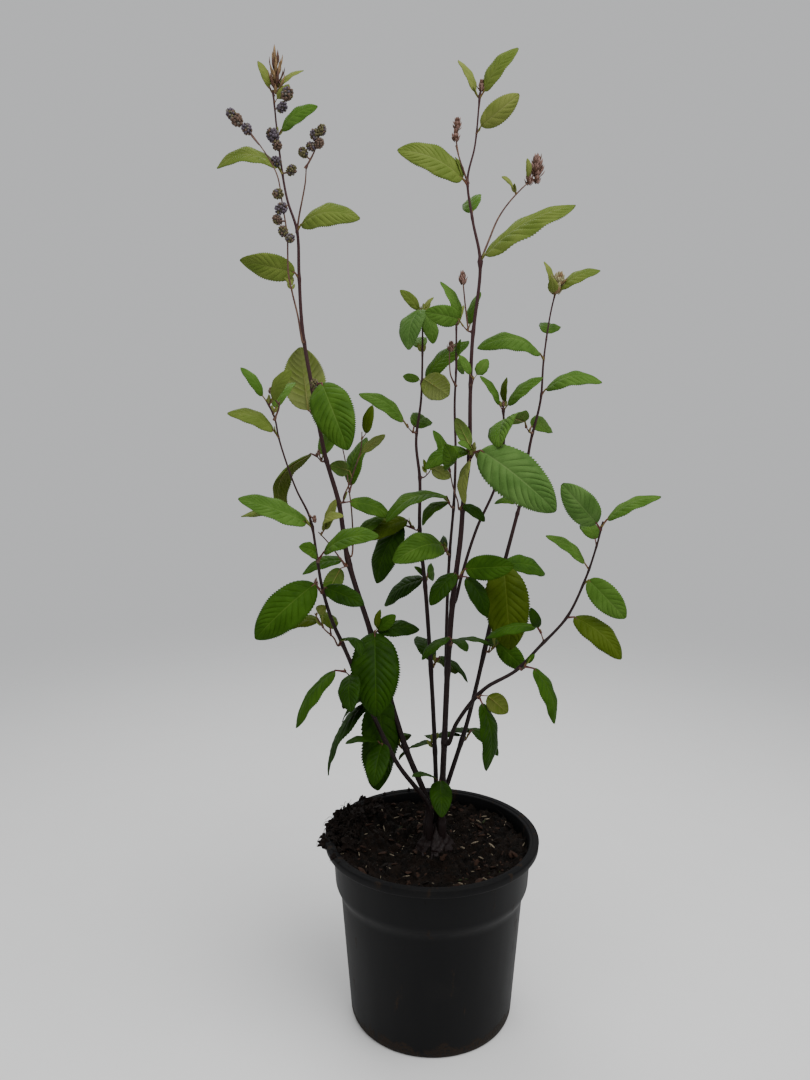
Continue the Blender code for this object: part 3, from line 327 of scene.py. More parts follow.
# Each mass: its name begins with its limb's. It has its height on the limb, its twig as steps from that
# point, or else the way to which a short spur grows, and its leaves and buds. A leaf is (how far along
# the twig, or the height on a top stem; where its tip lies from that point, to the right, back and up;
# how wide it shows from the front, below 0 for its underside; its tint; its own arch, twist, petiole or
# rise, and twig=True where it starts at the nearest twig). A bud is (the height on a top stem, or any
# number; its place from the same point; its radius, and half its length where it isn't round).
masses = {
    "left_leader_top": dict(
        leaves=[(599, -42, -14, 12, 19, "light", dict(arch=0.06, twist=-50)),
                (634, 48, -12, 7, 16, "light", dict(arch=0.22)),
                (675, -47, -8, 2, 9, "light", dict(arch=0.24)),
                (701, 31, -12, 18, 9, "bright", dict(arch=0.14)), (724, 12, -5, 12, 6, "young"),
                (731, -10, -5, 21, 6, "young"), (731, 22, 6, 18, 3, "young")],
        twigs=[[(634, 0, 0, 0), (2, 0, 12), (7, -2, 34), (8, -3, 45)],
               [(634, 8, -3, 45), (14, -4, 55), (17, -5, 64)]],
        buds=[(634, 6, -3, 55, 3.8), (634, 12, -4, 59, 3.6), (634, 18, -5, 61, 3.8),
              (634, 15, -5, 67, 4), (634, 20, -6, 70, 3.8), (675, -4, -3, 8, 4), (675, -3, -4, 19, 4),
              (675, -6, -4, 26, 5), (675, 7, -2, 2, 4), (701, 4, -2, 20, 4), (701, 8, -3, 29, 4.8),
              (731, 2, 0, 13, 4.8, 15)]),
    "left_leader_side_shoot": dict(
        at=552,
        twig=[(-4, -5, 20), (-10, -8, 50), (-10, -9, 76), (-13, -10, 98), (-16, -11, 118),
              (-23, -12, 132), (-34, -13, 147)],
        leaves=[(0.35, -20, 10, 60, 5, "young")],
        buds=[(0.45, -13, -9, 80, 4), (0.5, -8, -10, 75, 3.6), (0.45, -17, -10, 88, 3.8),
              (0.5, -14, -10, 96, 4.6), (0.6, -16, -11, 106, 4), (0.97, -37, -14, 150, 4),
              (1, -44, -15, 156, 4.6), (1, -48, -15, 160, 3.8)]),
    "left_leader_bright_leaf": dict(
        at=516, side=(0.7, -1),
        leaves=[(1, 29, -38, -43, 30, "mid", dict(arch=0.16, rise=10))],
        buds=[(1, 2, -5, 5, 3.6)]),
    "left_leader_broad_leaf": dict(
        at=494, side=(-0.5, 1),
        leaves=[(1, -14, 14, 55, -32, "light", dict(rise=25, petiole=10))],
        buds=[(0.6, -5, 2, 6, 1.8)]),
    "left_leader_arching_leaf": dict(
        at=462, side=(-1, 0.4),
        leaves=[(1, -33, 12, -52, -10, "olive", dict(arch=0.3, rise=20)), (0.6, 6, 30, 26, 12)],
        buds=[(0.8, -6, 0, 6, 1.6)]),
    "left_leader_right_twig": dict(
        at=429,
        twig=[(4, -2, 5), (9, -4, 16), (14, -6, 30), (18, -8, 42), (19, -10, 56)],
        leaves=[(0.12, 41, 10, -12, 12, "mid", dict(rise=5)),
                (0.6, -8, 18, 28, -12, "bright", dict(arch=0.1)),
                (0.8, 36, -14, 54, -7, "light", dict(arch=0.05)), (1, 27, -8, 76, 8, "olive")]),
    "left_leader_inner_twig": dict(
        at=386,
        twig=[(4, 6, 12), (3, 10, 36), (1, 13, 52), (-2, 14, 76), (-7, 14, 98)],
        leaves=[(0.32, 28, 18, 30, 9, "mid"), (1, -20, 12, 134, 8), (0.7, 14, 38, 92, 12)]),
    "left_leader_left_twig": dict(
        at=380,
        twig=[(-5, -4, 3), (-12, -7, 14), (-17, -9, 21), (-23, -11, 28)],
        leaves=[(1, -9, -16, 54, 7, "young", dict(arch=0.04)),
                (1, 2, -24, 43, 6, "young", dict(arch=0.28)),
                (0.1, -18, -16, -22, -14, "plain", dict(rise=-10)), (0.1, -38, 8, -9, 8)]),
    "left_leader_low_leaves": dict(
        at=322, side=(0.3, -1),
        leaves=[(1, -4, -42, -54, 36, "dark", dict(rise=15)), (1, 7, -4, 23, 5),
                (0.8, 19, -8, 19, 10), (0.5, 38, 6, 4, 12, "dark")]),
    "left_leader_foot_leaves": dict(
        at=276, side=(-0.6, -0.8),
        leaves=[(1, -12, -22, -78, 29, "dark", dict(rise=-10, arch=0.06)), (1, -37, 10, -18, -11),
                (0.6, -37, 0, -24, 3, "dark"),
                (0.3, -60, 12, -68, 4, "dark", dict(petiole=20, rise=-20))]),
    "left_shoot_top": dict(
        leaves=[(418, -42, -16, 37, 15, "bright", dict(arch=0.05)), (418, -52, 10, 14, 7, "light"),
                (484, -34, -8, 17, 10, "light", dict(arch=0.18)), (508, -17, -6, 24, 7, "bright"),
                (506, 18, -14, 24, 9, "light"), (500, 12, 26, 22, 8)],
        twigs=[[(497, 0, 0, 0), (3, -1, 7), (4, -3, 12)]],
        buds=[(508, 2, 0, 8, 1.6), (418, 2, -3, 6, 2)]),
    "left_shoot_upper_leaf": dict(
        at=392, side=(0.3, -1),
        leaves=[(1, 46, -20, 22, 13, "mid", dict(arch=0.16)), (0.7, -10, -30, 16, 10)]),
    "left_shoot_broad_leaves": dict(
        at=368, side=(-0.3, -1),
        leaves=[(1, -48, -22, -30, 28, "green", dict(arch=0.14)),
                (0.6, 31, -16, -6, 14, "dark", dict(arch=0.05))],
        buds=[(0.8, -5, -4, 8, 1.8)]),
    "left_shoot_twig": dict(
        at=326,
        twig=[(-6, -3, 5), (-13, -4, 12), (-17, -5, 19), (-20, -6, 25)],
        leaves=[(0.1, 24, -12, 11, 7, "plain", dict(arch=0.3, rise=80)), (0.7, -49, 6, 9, 7),
                (1, -11, -8, 32, 8, "young"), (0.5, -18, 34, 16, 10)]),
    "left_shoot_low_leaf": dict(
        at=300, side=(-1, -0.2),
        leaves=[(1, -46, -8, -40, 8, "green", dict(petiole=13, rise=10, arch=0.12)),
                (0.5, 8, -38, -6, 16, "dark")]),
    "back_stem_top": dict(
        leaves=[(521, 38, 8, 34, 12, "mid", dict(arch=0.1)), (521, -14, 12, 6, 7),
                (521, 24, -28, -9, -21, "light", dict(arch=0.05, petiole=8)), (545, -6, 34, 12, 10),
                (575, -18, -6, 19, 8, "light"), (577, 9, 8, 13, 3, "young"),
                (575, -11, -26, -28, 17, "fresh", dict(arch=0.2)), (572, 8, -16, -20, 12, "bright")]),
    "back_stem_long_leaf": dict(
        at=482, side=(-1, -0.4),
        leaves=[(1, -46, -6, 31, 11, "bright", dict(arch=0.16)), (0.5, 8, 38, 10, 14)]),
    "back_stem_olive_leaf": dict(
        at=446, side=(1, -0.3),
        leaves=[(1, 25, 6, -1, -11, "light", dict(arch=0.1)), (0.8, 3, 0, 15, 3)]),
    "back_stem_hanging_leaves": dict(
        at=404, side=(-1, -0.5),
        leaves=[(1, -42, -12, -6, 14), (0.7, -32, -18, -42, 20, "dark", dict(petiole=20, rise=20))]),
    "back_stem_low_leaves": dict(
        at=358, side=(0.2, 1),
        leaves=[(1, -9, 2, 16, 4), (1, 6, 42, 4, 12), (0.6, -34, 26, -22, 12, "dark")]),
    "thin_stem_top": dict(
        leaves=[(540, 3, -6, 15, 3), (530, 6, 32, 10, 10), (564, 6, 12, 18, 5, "young")],
        twigs=[[(520, 0, 0, 0), (-4, -2, 8), (-5, -3, 26)]],
        buds=[(520, -4, -3, 29, 3), (564, 0, 0, 5, 1.8)]),
    "thin_stem_long_leaf": dict(
        at=424, side=(-0.6, -1),
        leaves=[(1, -53, -26, -8, 10, "mid", dict(arch=0.2, rise=70)),
                (0.3, -25, -4, -14, 8, "plain", dict(arch=0.26))]),
    "thin_stem_bright_leaf": dict(
        at=386, side=(-0.5, -1),
        leaves=[(1, -45, -42, 2, 22, "mid", dict(arch=0.2)), (0.6, 10, 34, 0, 12, "dark")]),
    "centre_leader_top": dict(
        leaves=[(609, 66, -14, 37, 12, "light", dict(arch=0.1)),
                (662, -47, -12, 28, 17, "light", dict(arch=0.14)), (664, -4, 0, 19, 3),
                (640, 4, 34, 20, 12), (697, 29, -8, 24, 15, "young", dict(arch=0.12)),
                (720, -15, 5, 27, 5, "young"), (720, 26, -7, 31, 10, "light"),
                (609, 15, 4, 60, 3, "young", dict(twig=True)),
                (609, 34, 10, 74, 4, "young", dict(twig=True))],
        twigs=[[(609, 0, 0, 0), (7, 5, 17), (13, 9, 31), (21, 13, 43), (33, 18, 56), (40, 21, 62)],
               [(664, 0, 0, 0), (-5, -3, 12), (-9, -4, 24)]],
        buds=[(609, 43, 22, 70, 5.4), (609, 37, 20, 61, 3.2), (609, 43, 21, 62, 3),
              (664, -9, -4, 30, 3), (664, -8, -4, 38, 3.2), (724, 1, 0, 4, 2.8)]),
    "centre_leader_crown_leaves": dict(
        at=559, side=(-1, 0.2),
        leaves=[(1, -36, -8, 14, 15, "bright", dict(arch=0.2)), (1, -24, 10, 37, 7),
                (0.6, 6, 14, 30, 6)],
        buds=[(0.8, -8, 2, 38, 3.4)]),
    "centre_leader_small_leaves": dict(
        at=520, side=(0.2, -1),
        leaves=[(1, 12, -8, 19, 9, "bright"), (1, -9, -6, 22, 6)]),
    "centre_leader_great_leaf": dict(
        at=466, side=(0.4, -1),
        leaves=[(1, 60, -42, -36, 34, "fresh", dict(arch=0.14, rise=20)),
                (1, -11, -10, 30, -10, "bright"), (0.9, -10, -20, 12, 5),
                (0.6, -34, -12, -8, 12, "mid", dict(arch=0.2)),
                (0.5, 24, -14, -18, -12, "plain", dict(arch=0.2)),
                (0.4, -4, -16, -34, 7, "young", dict(rise=-20))]),
    "centre_leader_inner_twig": dict(
        at=426,
        twig=[(-4, -4, 6), (-8, -5, 18), (-11, -6, 34)],
        leaves=[(1, -5, -30, 60, 12, "mid"), (1, -20, -3, 62, 8), (0.1, 16, -12, -8, 8, "dark")]),
    "centre_leader_low_leaves": dict(
        at=372, side=(0.5, -1),
        leaves=[(1, 43, -20, 13, 19, "green", dict(arch=0.12)),
                (0.8, 24, -14, -28, 13, "dark", dict(rise=0)), (0.6, -20, -18, -18, 14, "dark")]),
    "right_stem_top": dict(
        leaves=[(512, 46, -10, 10, 11, "bright", dict(arch=0.22)),
                (540, -54, -16, 8, 13, "bright", dict(arch=0.22)), (556, 10, 38, 12, 12),
                (592, -9, 4, 24, 4, "young"), (590, 34, -6, 18, 8, "light"),
                (588, -4, -12, 14, 8, "young")],
        buds=[(592, 0, 0, 4, 4.6), (592, 3, -1, 9, 3.6)]),
    "right_stem_crossing_leaf": dict(
        at=482, side=(-1, -0.8),
        leaves=[(1, -44, -50, -7, 9, "bright", dict(arch=0.22)), (0.6, 30, 22, 8, 10)]),
    "right_stem_curled_leaves": dict(
        at=418, side=(0.2, 1),
        leaves=[(1, -18, 8, 7, 5, "plain", dict(arch=0.25)),
                (1, 18, 8, 17, 5, "plain", dict(arch=0.25))]),
    "right_stem_broad_leaf": dict(
        at=372, side=(-0.2, -1),
        leaves=[(1, 4, -32, -57, 34, "olive", dict(rise=20)), (0.6, 26, 30, -6, 12)]),
    "right_stem_low_leaves": dict(
        at=306, side=(0.9, -0.5),
        leaves=[(1, 32, -10, -12, 16, "green"), (0.8, 12, -14, 30, 4, "young"), (0.5, 22, 34, 4, 14)]),
    "right_shoot_top": dict(
        leaves=[(500, -19, -4, 27, 5, "bright"), (502, 3, 6, 24, 5, "olive"),
                (500, 29, -8, 26, 9, "bright")],
        buds=[(502, 0, 0, 3, 1.6)]),
    "low_branch_top": dict(
        leaves=[(350, 38, -16, -27, 17, "olive", dict(arch=0.16, rise=10)),
                (376, 31, -14, -18, 19, "bright", dict(arch=0.08)), (388, -31, 6, 24, 8, "bright"),
                (418, -30, -8, 34, 21, "fresh", dict(arch=0.12)), (421, 39, -8, 22, 8, "bright"),
                (406, -4, 30, 12, 10)]),
    "low_branch_upper_leaves": dict(
        at=330, side=(-0.3, 1),
        leaves=[(1, -11, -2, 27, 8), (1, -42, 18, -2, 7)]),
    "low_branch_hanging_leaf": dict(
        at=309, side=(0.6, -1),
        leaves=[(1, 26, -10, -41, 9, "green", dict(petiole=11, rise=-10)), (1, 10, -4, 12, 4)]),
    "low_branch_inner_leaves": dict(
        at=284, side=(0.4, -1),
        leaves=[(1, 22, -12, -10, -15, "plain", dict(rise=0)),
                (0.7, 6, -18, -54, 12, "dark", dict(rise=-30))]),
}

# Masses low on the stems, at the plant's back and middle. Their leaves follow one seeded rule:
# (limb, height, heading in degrees from the right, number of leaves).
lowShoots = [
    ("back_stem", 222, 100, 3),
    ("back_stem", 290, 60, 3),
    ("centre_leader", 200, 250, 2),
    ("centre_leader", 318, 285, 3),
    ("right_stem", 232, 40, 3),
    ("left_leader", 228, 140, 3),
    ("left_shoot", 238, 235, 2),
]
lowLeafLength = (30, 44)
lowLeafSpread = 52                      # degrees from one leaf's heading to the next
lowLeafStray = 10                       # and how many it may stray from that
lowLeafStep = 0.2                       # how far apart the leaves leave their stem
lowLeafPitch = 0.5                      # how far a leaf's tip rises or falls for its length
lowSeed = 7


def curve(points, steps=8):
    points = [Vector(p) * mm for p in points]
    points = [points[0] * 2 - points[1]] + points + [points[-1] * 2 - points[-2]]
    line = []
    for a, b, c, d in zip(points, points[1:], points[2:], points[3:]):
        kb = (b - a).length ** 0.5
        kc = kb + (c - b).length ** 0.5
        kd = kc + (d - c).length ** 0.5
        for i in range(steps):
            k = kb + (kc - kb) * i / steps
            ab, bc, cd = a.lerp(b, k / kb), b.lerp(c, (k - kb) / (kc - kb)), c.lerp(d, (k - kc) / (kd - kc))
            line.append(ab.lerp(bc, k / kc).lerp(bc.lerp(cd, (k - kb) / (kd - kb)), (k - kb) / (kc - kb)))
    return line + [points[-2]]


def along(line, share):
    t = min(max(share, 0), 1) * (len(line) - 1)
    i = min(int(t), len(line) - 2)
    return line[i].lerp(line[i + 1], t - i), (line[i + 1] - line[i]).normalized()


def shareAt(line, height):
    for i, (a, b) in enumerate(zip(line, line[1:])):
        if b.z >= height * mm:
            return max(0, i + (height * mm - a.z) / (b.z - a.z)) / (len(line) - 1)
    return 1


def lengthOf(line):
    return sum((b - a).length for a, b in zip(line, line[1:]))


def spanned(line, start, end, step):
    count = max(2, round(lengthOf(line) * (end - start) / (step * mm)))
    return [start + (end - start) * i / count for i in range(count + 1)]


def across(way, toward):
    flat = toward - way * toward.dot(way)
    return (flat if flat.length > seam else way.orthogonal()).normalized()


def wrapped(rings, sides, place):
    # a grid wrapped into a tube with closed ends, each point placed from its turn and its ring's values
    bm = bmesh.new()
    bmesh.ops.create_grid(bm, x_segments=sides, y_segments=len(rings) - 1, size=1)
    for v in bm.verts:
        v.co = place(math.pi * (v.co.x + 1), *rings[round((v.co.y + 1) / 2 * (len(rings) - 1))])
    bmesh.ops.remove_doubles(bm, verts=bm.verts, dist=seam)
    bmesh.ops.holes_fill(bm, edges=bm.edges, sides=sides)
    bmesh.ops.recalc_face_normals(bm, faces=bm.faces)
    return bm


def oval(turn, centre, side, thick, fold):
    return centre + side * math.cos(turn) + thick * math.sin(turn) + fold * abs(math.cos(turn))


def framed(points):     # each point of a line, with two directions across the line
    side = firstSide
    for i, point in enumerate(points):
        way = (points[min(i + 1, len(points) - 1)] - points[max(i - 1, 0)]).normalized()
        side = across(way, side)
        yield point, side, way.cross(side)


def tapered(points, first, last, sides):
    radii = [radius * mm for radius in faded(first, last, len(points) - 1)]
    rings = [(point, side * radius, other * radius, Vector())
             for (point, side, other), radius in zip(framed(points), radii)]
    return wrapped(rings, sides, oval)


def faded(first, last, count):      # even steps from the first value to the last
    return [first + (last - first) * i / count for i in range(count + 1)]


def outline(t, ends):
    base, tip = ends
    widest = base / (base + tip)
    return (t / widest) ** base * ((1 - t) / (1 - widest)) ** tip


def bladeFrame(leaf, t):        # a point of the midrib, the way it runs there, and the blade's upward side
    bow = (leaf["base"] + leaf["tip"]) / 2 + leaf["normal"] * leaf["arch"] * leaf["length"] * 2
    point = leaf["base"] * (1 - t) ** 2 + bow * 2 * t * (1 - t) + leaf["tip"] * t ** 2
    way = ((bow - leaf["base"]) * (1 - t) + (leaf["tip"] - bow) * t).normalized()
    normal = Matrix.Rotation(math.radians(leaf["twist"]) * t * t, 3, way) @ across(way, leaf["normal"])
    return point, way, normal


def testBlade(leaf):
    rings = []
    for t in testRings:
        point, way, normal = bladeFrame(leaf, t)
        wide = outline(t, leafEnds)
        half = max(leaf["width"] / 2 * wide, bladeEnd * mm)
        thick = testThickness * mm / 2 * (leafThin + (1 - leafThin) * wide)
        rings.append((point, way.cross(normal) * half, normal * thick, normal * half * leafFold))
    return wrapped(rings, 4, oval)


def facing(way, middle, share):
    view = across(way, (eye - middle).normalized())
    turn = math.acos(max(-1, min(1, share)))
    both = [Matrix.Rotation(turn * sign, 3, way) @ view for sign in (1, -1)]
    return max(both, key=lambda normal: normal.z)


def makeLeaf(start, tip, shown, more, swing, lift):
    reach = tip - start
    level = Vector((reach.x, reach.y, 0))
    level = level.normalized() if level.length > mm else Vector((0, -1, 0))
    rise = math.radians(more.get("rise", petioleRise))
    stalk = min(more.get("petiole", petioleLength) * mm, reach.length * petioleMost)
    turn = Matrix.Rotation(math.radians(swing), 3, up)
    turn = turn @ Matrix.Rotation(math.radians(-lift), 3, up.cross(level))
    base = start + turn @ (level * math.cos(rise) + up * math.sin(rise)) * stalk
    tip = start + turn @ reach
    length = (tip - base).length
    width = max(length * leafShape, abs(shown or 0) * mm)
    way = (tip - base).normalized()
    normal = across(way, up) if shown is None else facing(way, (base + tip) / 2, shown * mm / width)
    return dict(start=start, base=base, tip=tip, length=length, width=width, normal=normal,
                arch=more.get("arch", leafArch), twist=more.get("twist", 0))


def treeOf(bm):
    tree = BVHTree.FromBMesh(bm)
    bm.free()
    return tree


def placedLeaf(start, tip, shown, more, stems, leaves, own):
    tries = [(swing, lift) for swing in swings for lift in lifts]
    tries.sort(key=lambda turns: abs(turns[0]) + abs(turns[1]))
    radius = petioleWidth / 2
    for swing, lift in tries:
        leaf = makeLeaf(start, tip, shown, more, swing, lift)
        flat = treeOf(testBlade(leaf))
        near = [leaf["base"], bladeFrame(leaf, testRings[0])[0]]
        whole = treeOf(tapered([start, *near], radius, radius, 3))
        outer = treeOf(tapered([start.lerp(leaf["base"], 0.5), *near], radius, radius, 3))
        others = leaves + [tree for _, tree in stems]
        if any(flat.overlap(other) or outer.overlap(other) for other in others):
            continue
        if any(whole.overlap(tree) for owner, tree in stems if owner not in own):
            continue
        leaves.append(flat)
        return leaf
    return None


def leaving(limb, height, side):
    share = shareAt(limb["line"], height)
    centre, way = along(limb["line"], share)
    side = across(way, side)
    start = centre + side * (limbWidth(limb, share) / 2 + seat) * mm
    return [start / mm, (start + side * squareLength * mm) / mm]


def limbWidth(limb, share):
    wide, narrow = limb["width"]
    return max(wide + (narrow - wide) * share / limb["end"], leastWidth)


def growLimbs():
    grown = {}
    for name, limb in limbs.items():
        points = limb["line"]
        if limb["foot"] == "rootstock":
            points = [(points[0][0], points[0][1], soilLevel + seat * 2 + footHeight)] + points
        else:
            parent = grown[limb["foot"]]
            centre = along(parent["line"], shareAt(parent["line"], limb["at"]))[0]
            points = leaving(parent, limb["at"], Vector(points[0]) * mm - centre) + points
        line = curve(points)
        grown[name] = dict(line=line, width=limb["width"], end=shareAt(line, limb["ends"]))
    return grown


def plannedMasses():
    plan = {name: dict(on=next(limb for limb in limbs if name.startswith(limb)), **mass)
            for name, mass in masses.items()}
    rng = random.Random(lowSeed)
    for limb, height, heading, count in lowShoots:
        leaves = []
        for i in range(count):
            spread = (i - (count - 1) / 2) * lowLeafSpread + rng.uniform(-lowLeafStray, lowLeafStray)
            angle = math.radians(heading + spread)
            length = rng.uniform(*lowLeafLength)
            leaves.append((1 - lowLeafStep * i, math.cos(angle) * length, math.sin(angle) * length,
                           rng.uniform(-lowLeafPitch, lowLeafPitch) * length, None, "dark"))
        side = (math.cos(math.radians(heading)), math.sin(math.radians(heading)))
        plan[f"{limb}_shoot_{height}"] = dict(on=limb, at=height, side=side, leaves=leaves)
    return plan


def stemOf(mass, limb):
    if "at" not in mass:
        start = limb["end"] + seat * mm / lengthOf(limb["line"])
        shares = spanned(limb["line"], start, 1, limbStep / 2)
        stem = [along(limb["line"], share)[0] for share in shares]
        twigs = [(stem, limbWidth(limb, start) / 2, limbWidth(limb, 1) / 2)]
        for (height, *first), *rest in mass.get("twigs", []):
            node = along(limb["line"], shareAt(limb["line"], height))[0]
            points = curve([node / mm + Vector(step) for step in [first] + rest], 2)
            twigs.append((points, twigWidth / 2, twigEndWidth / 2))
        return twigs
    root = along(limb["line"], shareAt(limb["line"], mass["at"]))[0] / mm
    if "twig" in mass:
        steps = [root + Vector(step) for step in mass["twig"]]
        points = leaving(limb, mass["at"], steps[0] - root) + steps
        return [(curve(points, 2), twigWidth / 2, twigEndWidth / 2)]
    side = Vector((*mass["side"], 0)).normalized()
    points = leaving(limb, mass["at"], side)
    rise = math.radians(spurRise)
    points.append(points[-1] + (side * math.cos(rise) + up * math.sin(rise)) * (spurLength - squareLength))
    return [([point * mm for point in points], twigWidth / 2, twigEndWidth / 2)]


def growMasses(grown):
    plan = plannedMasses()
    stems = []
    for name, limb in grown.items():
        points = [along(limb["line"], share)[0] for share in spanned(limb["line"], 0, 1, limbStep / 2)]
        last = limbWidth(limb, 1) / 2 + clearance
        stems.append((name, treeOf(tapered(points, limb["width"][0] / 2 + clearance, last, limbSides))))
    for name, mass in plan.items():
        mass["stem"] = stemOf(mass, grown[mass["on"]])
        for points, first, last in ownTwigs(mass):
            if lengthOf(points) > 2 * spurLength * mm:
                fat = tapered(points, first + clearance / 2, last + clearance / 2, limbSides)
                stems.append((name, treeOf(fat)))
    leaves = []
    for name, mass in plan.items():
        line = grown[mass["on"]]["line"]
        mass["grown"] = []
        for where, x, y, z, shown, *rest in mass["leaves"]:
            anchor = along(line, shareAt(line, mass.get("at", where)))[0]
            tip = anchor + Vector((x, y, z)) * mm
            start = along(mass["stem"][0][0], where * leafSeat)[0] if "at" in mass else anchor
            more = rest[1] if len(rest) > 1 else {}
            if more.get("twig"):
                start = nearest(mass["stem"], tip)
            leaf = placedLeaf(start, tip, shown, more, stems, leaves, (name, mass["on"]))
            if leaf:
                leaf["tint"] = rest[0] if rest else "plain"
                mass["grown"].append(leaf)
            else:
                print(name, "has no room for its leaf at", where, x, y, z)
        mass["budsAt"] = []
        for where, x, y, z, radius, *tall in mass.get("buds", []):
            anchor = along(line, shareAt(line, mass.get("at", where)))[0]
            mass["budsAt"].append((anchor + Vector((x, y, z)) * mm, radius, tall[0] if tall else radius))
    return plan


def ownTwigs(mass):     # a top mass's first stem is the end of its limb, which the bark covers
    return mass["stem"][0 if "at" in mass else 1:]


def nearest(stem, place):
    points = [point for twig in stem for point in twig[0][:-1]]
    return min(points, key=lambda point: (point - place).length)


# Bark: one skin over the woody foot and all the stems, out to their tips

bark = dict(
    sides=12, step=2.2,             # a stem's sides, and the length of one ring
    relief=0.08, ridges=60, ridgeTurn=1.4, ridgeStretch=(2, 2, 0.5), scars=9,
    nodeSwell=0.24, nodeLength=2.6, tipLeft=0.3,
    footFlare=0.45, footLength=10, sunk=12, sideSunk=2,     # how stems widen and run down into their foot
    old=(0.009, 0.004, 0.0038), young=(0.044, 0.0155, 0.0165), pale=(0.085, 0.048, 0.038),
    agedTo=(0.2, 0.66),             # where the bark starts to redden, and where it ends, in metres up
    crownSides=48, crownRings=26, crownRelief=0.3, crownReach=0.86, crownSunk=4,
    crownFoot=1.45, crownDome=0.2, crownTop=0.5, crownRound=4, crownLeast=0.1,
)


def barkMaterial():
    g = Graph("stem bark", Specular_IOR_Level=0.22)
    height = g.height()
    streaks = g.cloud(5, 4, g.stretched(1, 1, 0.12))
    fine = g.cloud(1.1, 3, g.stretched(1, 1, 0.3))
    age = g.step(height + streaks * 0.16 - 0.08, *bark["agedTo"])
    tone = g.mix(age, bark["old"], bark["young"])
    spots = 1 - g.step(g.cells(3), 0.1, 0.17)
    g.colour(g.mix(spots * 0.5 + g.step(fine, 0.6, 0.8) * 0.2, tone, bark["pale"]))
    g.rough(0.45 + streaks * 0.25)
    g.bump(streaks + fine * 0.6 + spots * 0.5, 0.25, 0.7)
    return g.material


def turnedTube(bm, points, radii, sides, relief=0.0, slots=None):
    # a round tube along points, which can have bark's relief, or a material for each of its rings
    def skin(turn, point, side, other, radius):
        out = side * math.cos(turn) + other * math.sin(turn)
        if relief:
            spot = point * bark["ridges"] + out * bark["ridgeTurn"]
            ridge = noise.noise(Vector([a * b for a, b in zip(spot, bark["ridgeStretch"])]))
            radius *= 1 + relief * (ridge + noise.noise(spot * bark["scars"]) / 2)
        return point + out * radius

    part = wrapped([(*ring, radius) for ring, radius in zip(framed(points), radii)], sides, skin)
    for face in part.faces if slots else ():
        middle = face.calc_center_median()
        near = min(range(len(points)), key=lambda i: (points[i] - middle).length)
        face.material_index = slots[near]
    joined(bm, part)


def limbRadius(limb, share, nodes, length):
    radius = limbWidth(limb, share) / 2
    for node in nodes:
        away = (share - node) * length / mm / bark["nodeLength"]
        radius *= 1 + bark["nodeSwell"] * math.exp(-away ** 2)
    flare = bark["footFlare"] * math.exp(-share * length / mm / bark["footLength"])
    return radius * (1 + flare) * mm


def nodesOf(name, line, plan):
    # how far along a stem its leaves, twigs and side stems leave it
    shares = []
    for mass in plan.values():
        if mass["on"] == name:
            heights = [mass["at"]] if "at" in mass else [where for where, *_ in mass["leaves"]]
            shares += [shareAt(line, height) for height in heights]
    return shares + [shareAt(line, limb["at"]) for limb in limbs.values() if limb["foot"] == name]


def makeBark(grown, plan):
    bm = bmesh.new()
    for name, limb in grown.items():
        line = limb["line"]
        length = lengthOf(line)
        nodes = nodesOf(name, line, plan)
        shares = spanned(line, 0, 1, bark["step"])
        points = [along(line, share)[0] for share in shares]
        radii = [limbRadius(limb, share, nodes, length) for share in shares]
        sunk = bark["sunk"] if limbs[name]["foot"] == "rootstock" else bark["sideSunk"]
        points.insert(0, points[0] - along(line, 0)[1] * sunk * mm)
        radii.insert(0, radii[0])
        points.append(points[-1] + along(line, 1)[1] * radii[-1])
        radii.append(radii[-1] * bark["tipLeft"])
        turnedTube(bm, points, radii, bark["sides"], bark["relief"])
    low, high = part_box("rootstock")
    under = low.z - bark["crownSunk"] * mm
    middle = Vector((*footPlace, 0)) * mm
    points, radii = [], []
    for share in faded(0, 1, bark["crownRings"]):
        points.append(middle + up * (under + (high.z - under) * share))
        foot = 1 + (bark["crownFoot"] - 1) * (1 - share) ** 2
        dome = max(share - bark["crownDome"], 0) / (1 - bark["crownDome"])
        top = (1 - (1 - bark["crownTop"]) * dome) * max(1 - dome ** bark["crownRound"], bark["crownLeast"])
        radii.append((high.x - low.x) / 2 * bark["crownReach"] * foot * top)
    turnedTube(bm, points, radii, bark["crownSides"], bark["crownRelief"])
    piece("bark", bm, [barkMaterial()], limbNodes)
    print("bark: stems", len(grown))


# Twigs, stalks of leaves and of flowers

twigs = dict(
    sides=8, step=1.8, relief=0.05, thin=0.78,      # drawn at this share of the source's plain twig
    sunk=1.5, collar=1.15,                  # how far a twig runs into its limb, and how it widens there
    young=(0.06, 0.0245, 0.021), pale=(0.125, 0.068, 0.045),
    stalkColour=(0.1, 0.026, 0.022), stalkGreen=(0.13, 0.115, 0.022), ribColour=(0.15, 0.18, 0.04),
    stalkSides=6, stalkRadius=0.66, stalkFor=36, stalkSizes=(0.45, 1.2), stalkFoot=1.5, stalkSunk=0.5,
    stalkShare=0.62,                        # how much of the source's leaf stalk shows
    ribEnd=0.12, ribReach=0.82, ribRings=12, ribAir=0.06, ribSlot=3,
    axilRadius=0.8, axilLength=1.9, axilShare=0.6, axilNarrow=0.45, axilGreen=2, axilLean=0.4, axilSeat=1.2,
    budRings=5, budSag=0.05, budTaper=0.05,
)


def twigMaterial(name, colour, pale):
    g = Graph(name, Specular_IOR_Level=0.2)
    streaks = g.cloud(3, 3, g.stretched(1, 1, 0.3))
    g.colour(g.mix(g.step(streaks, 0.35, 0.7), colour, pale))
    g.rough(0.42 + streaks * 0.2)
    g.bump(g.cloud(0.7, 2), 0.1, 0.5)
    return g.material


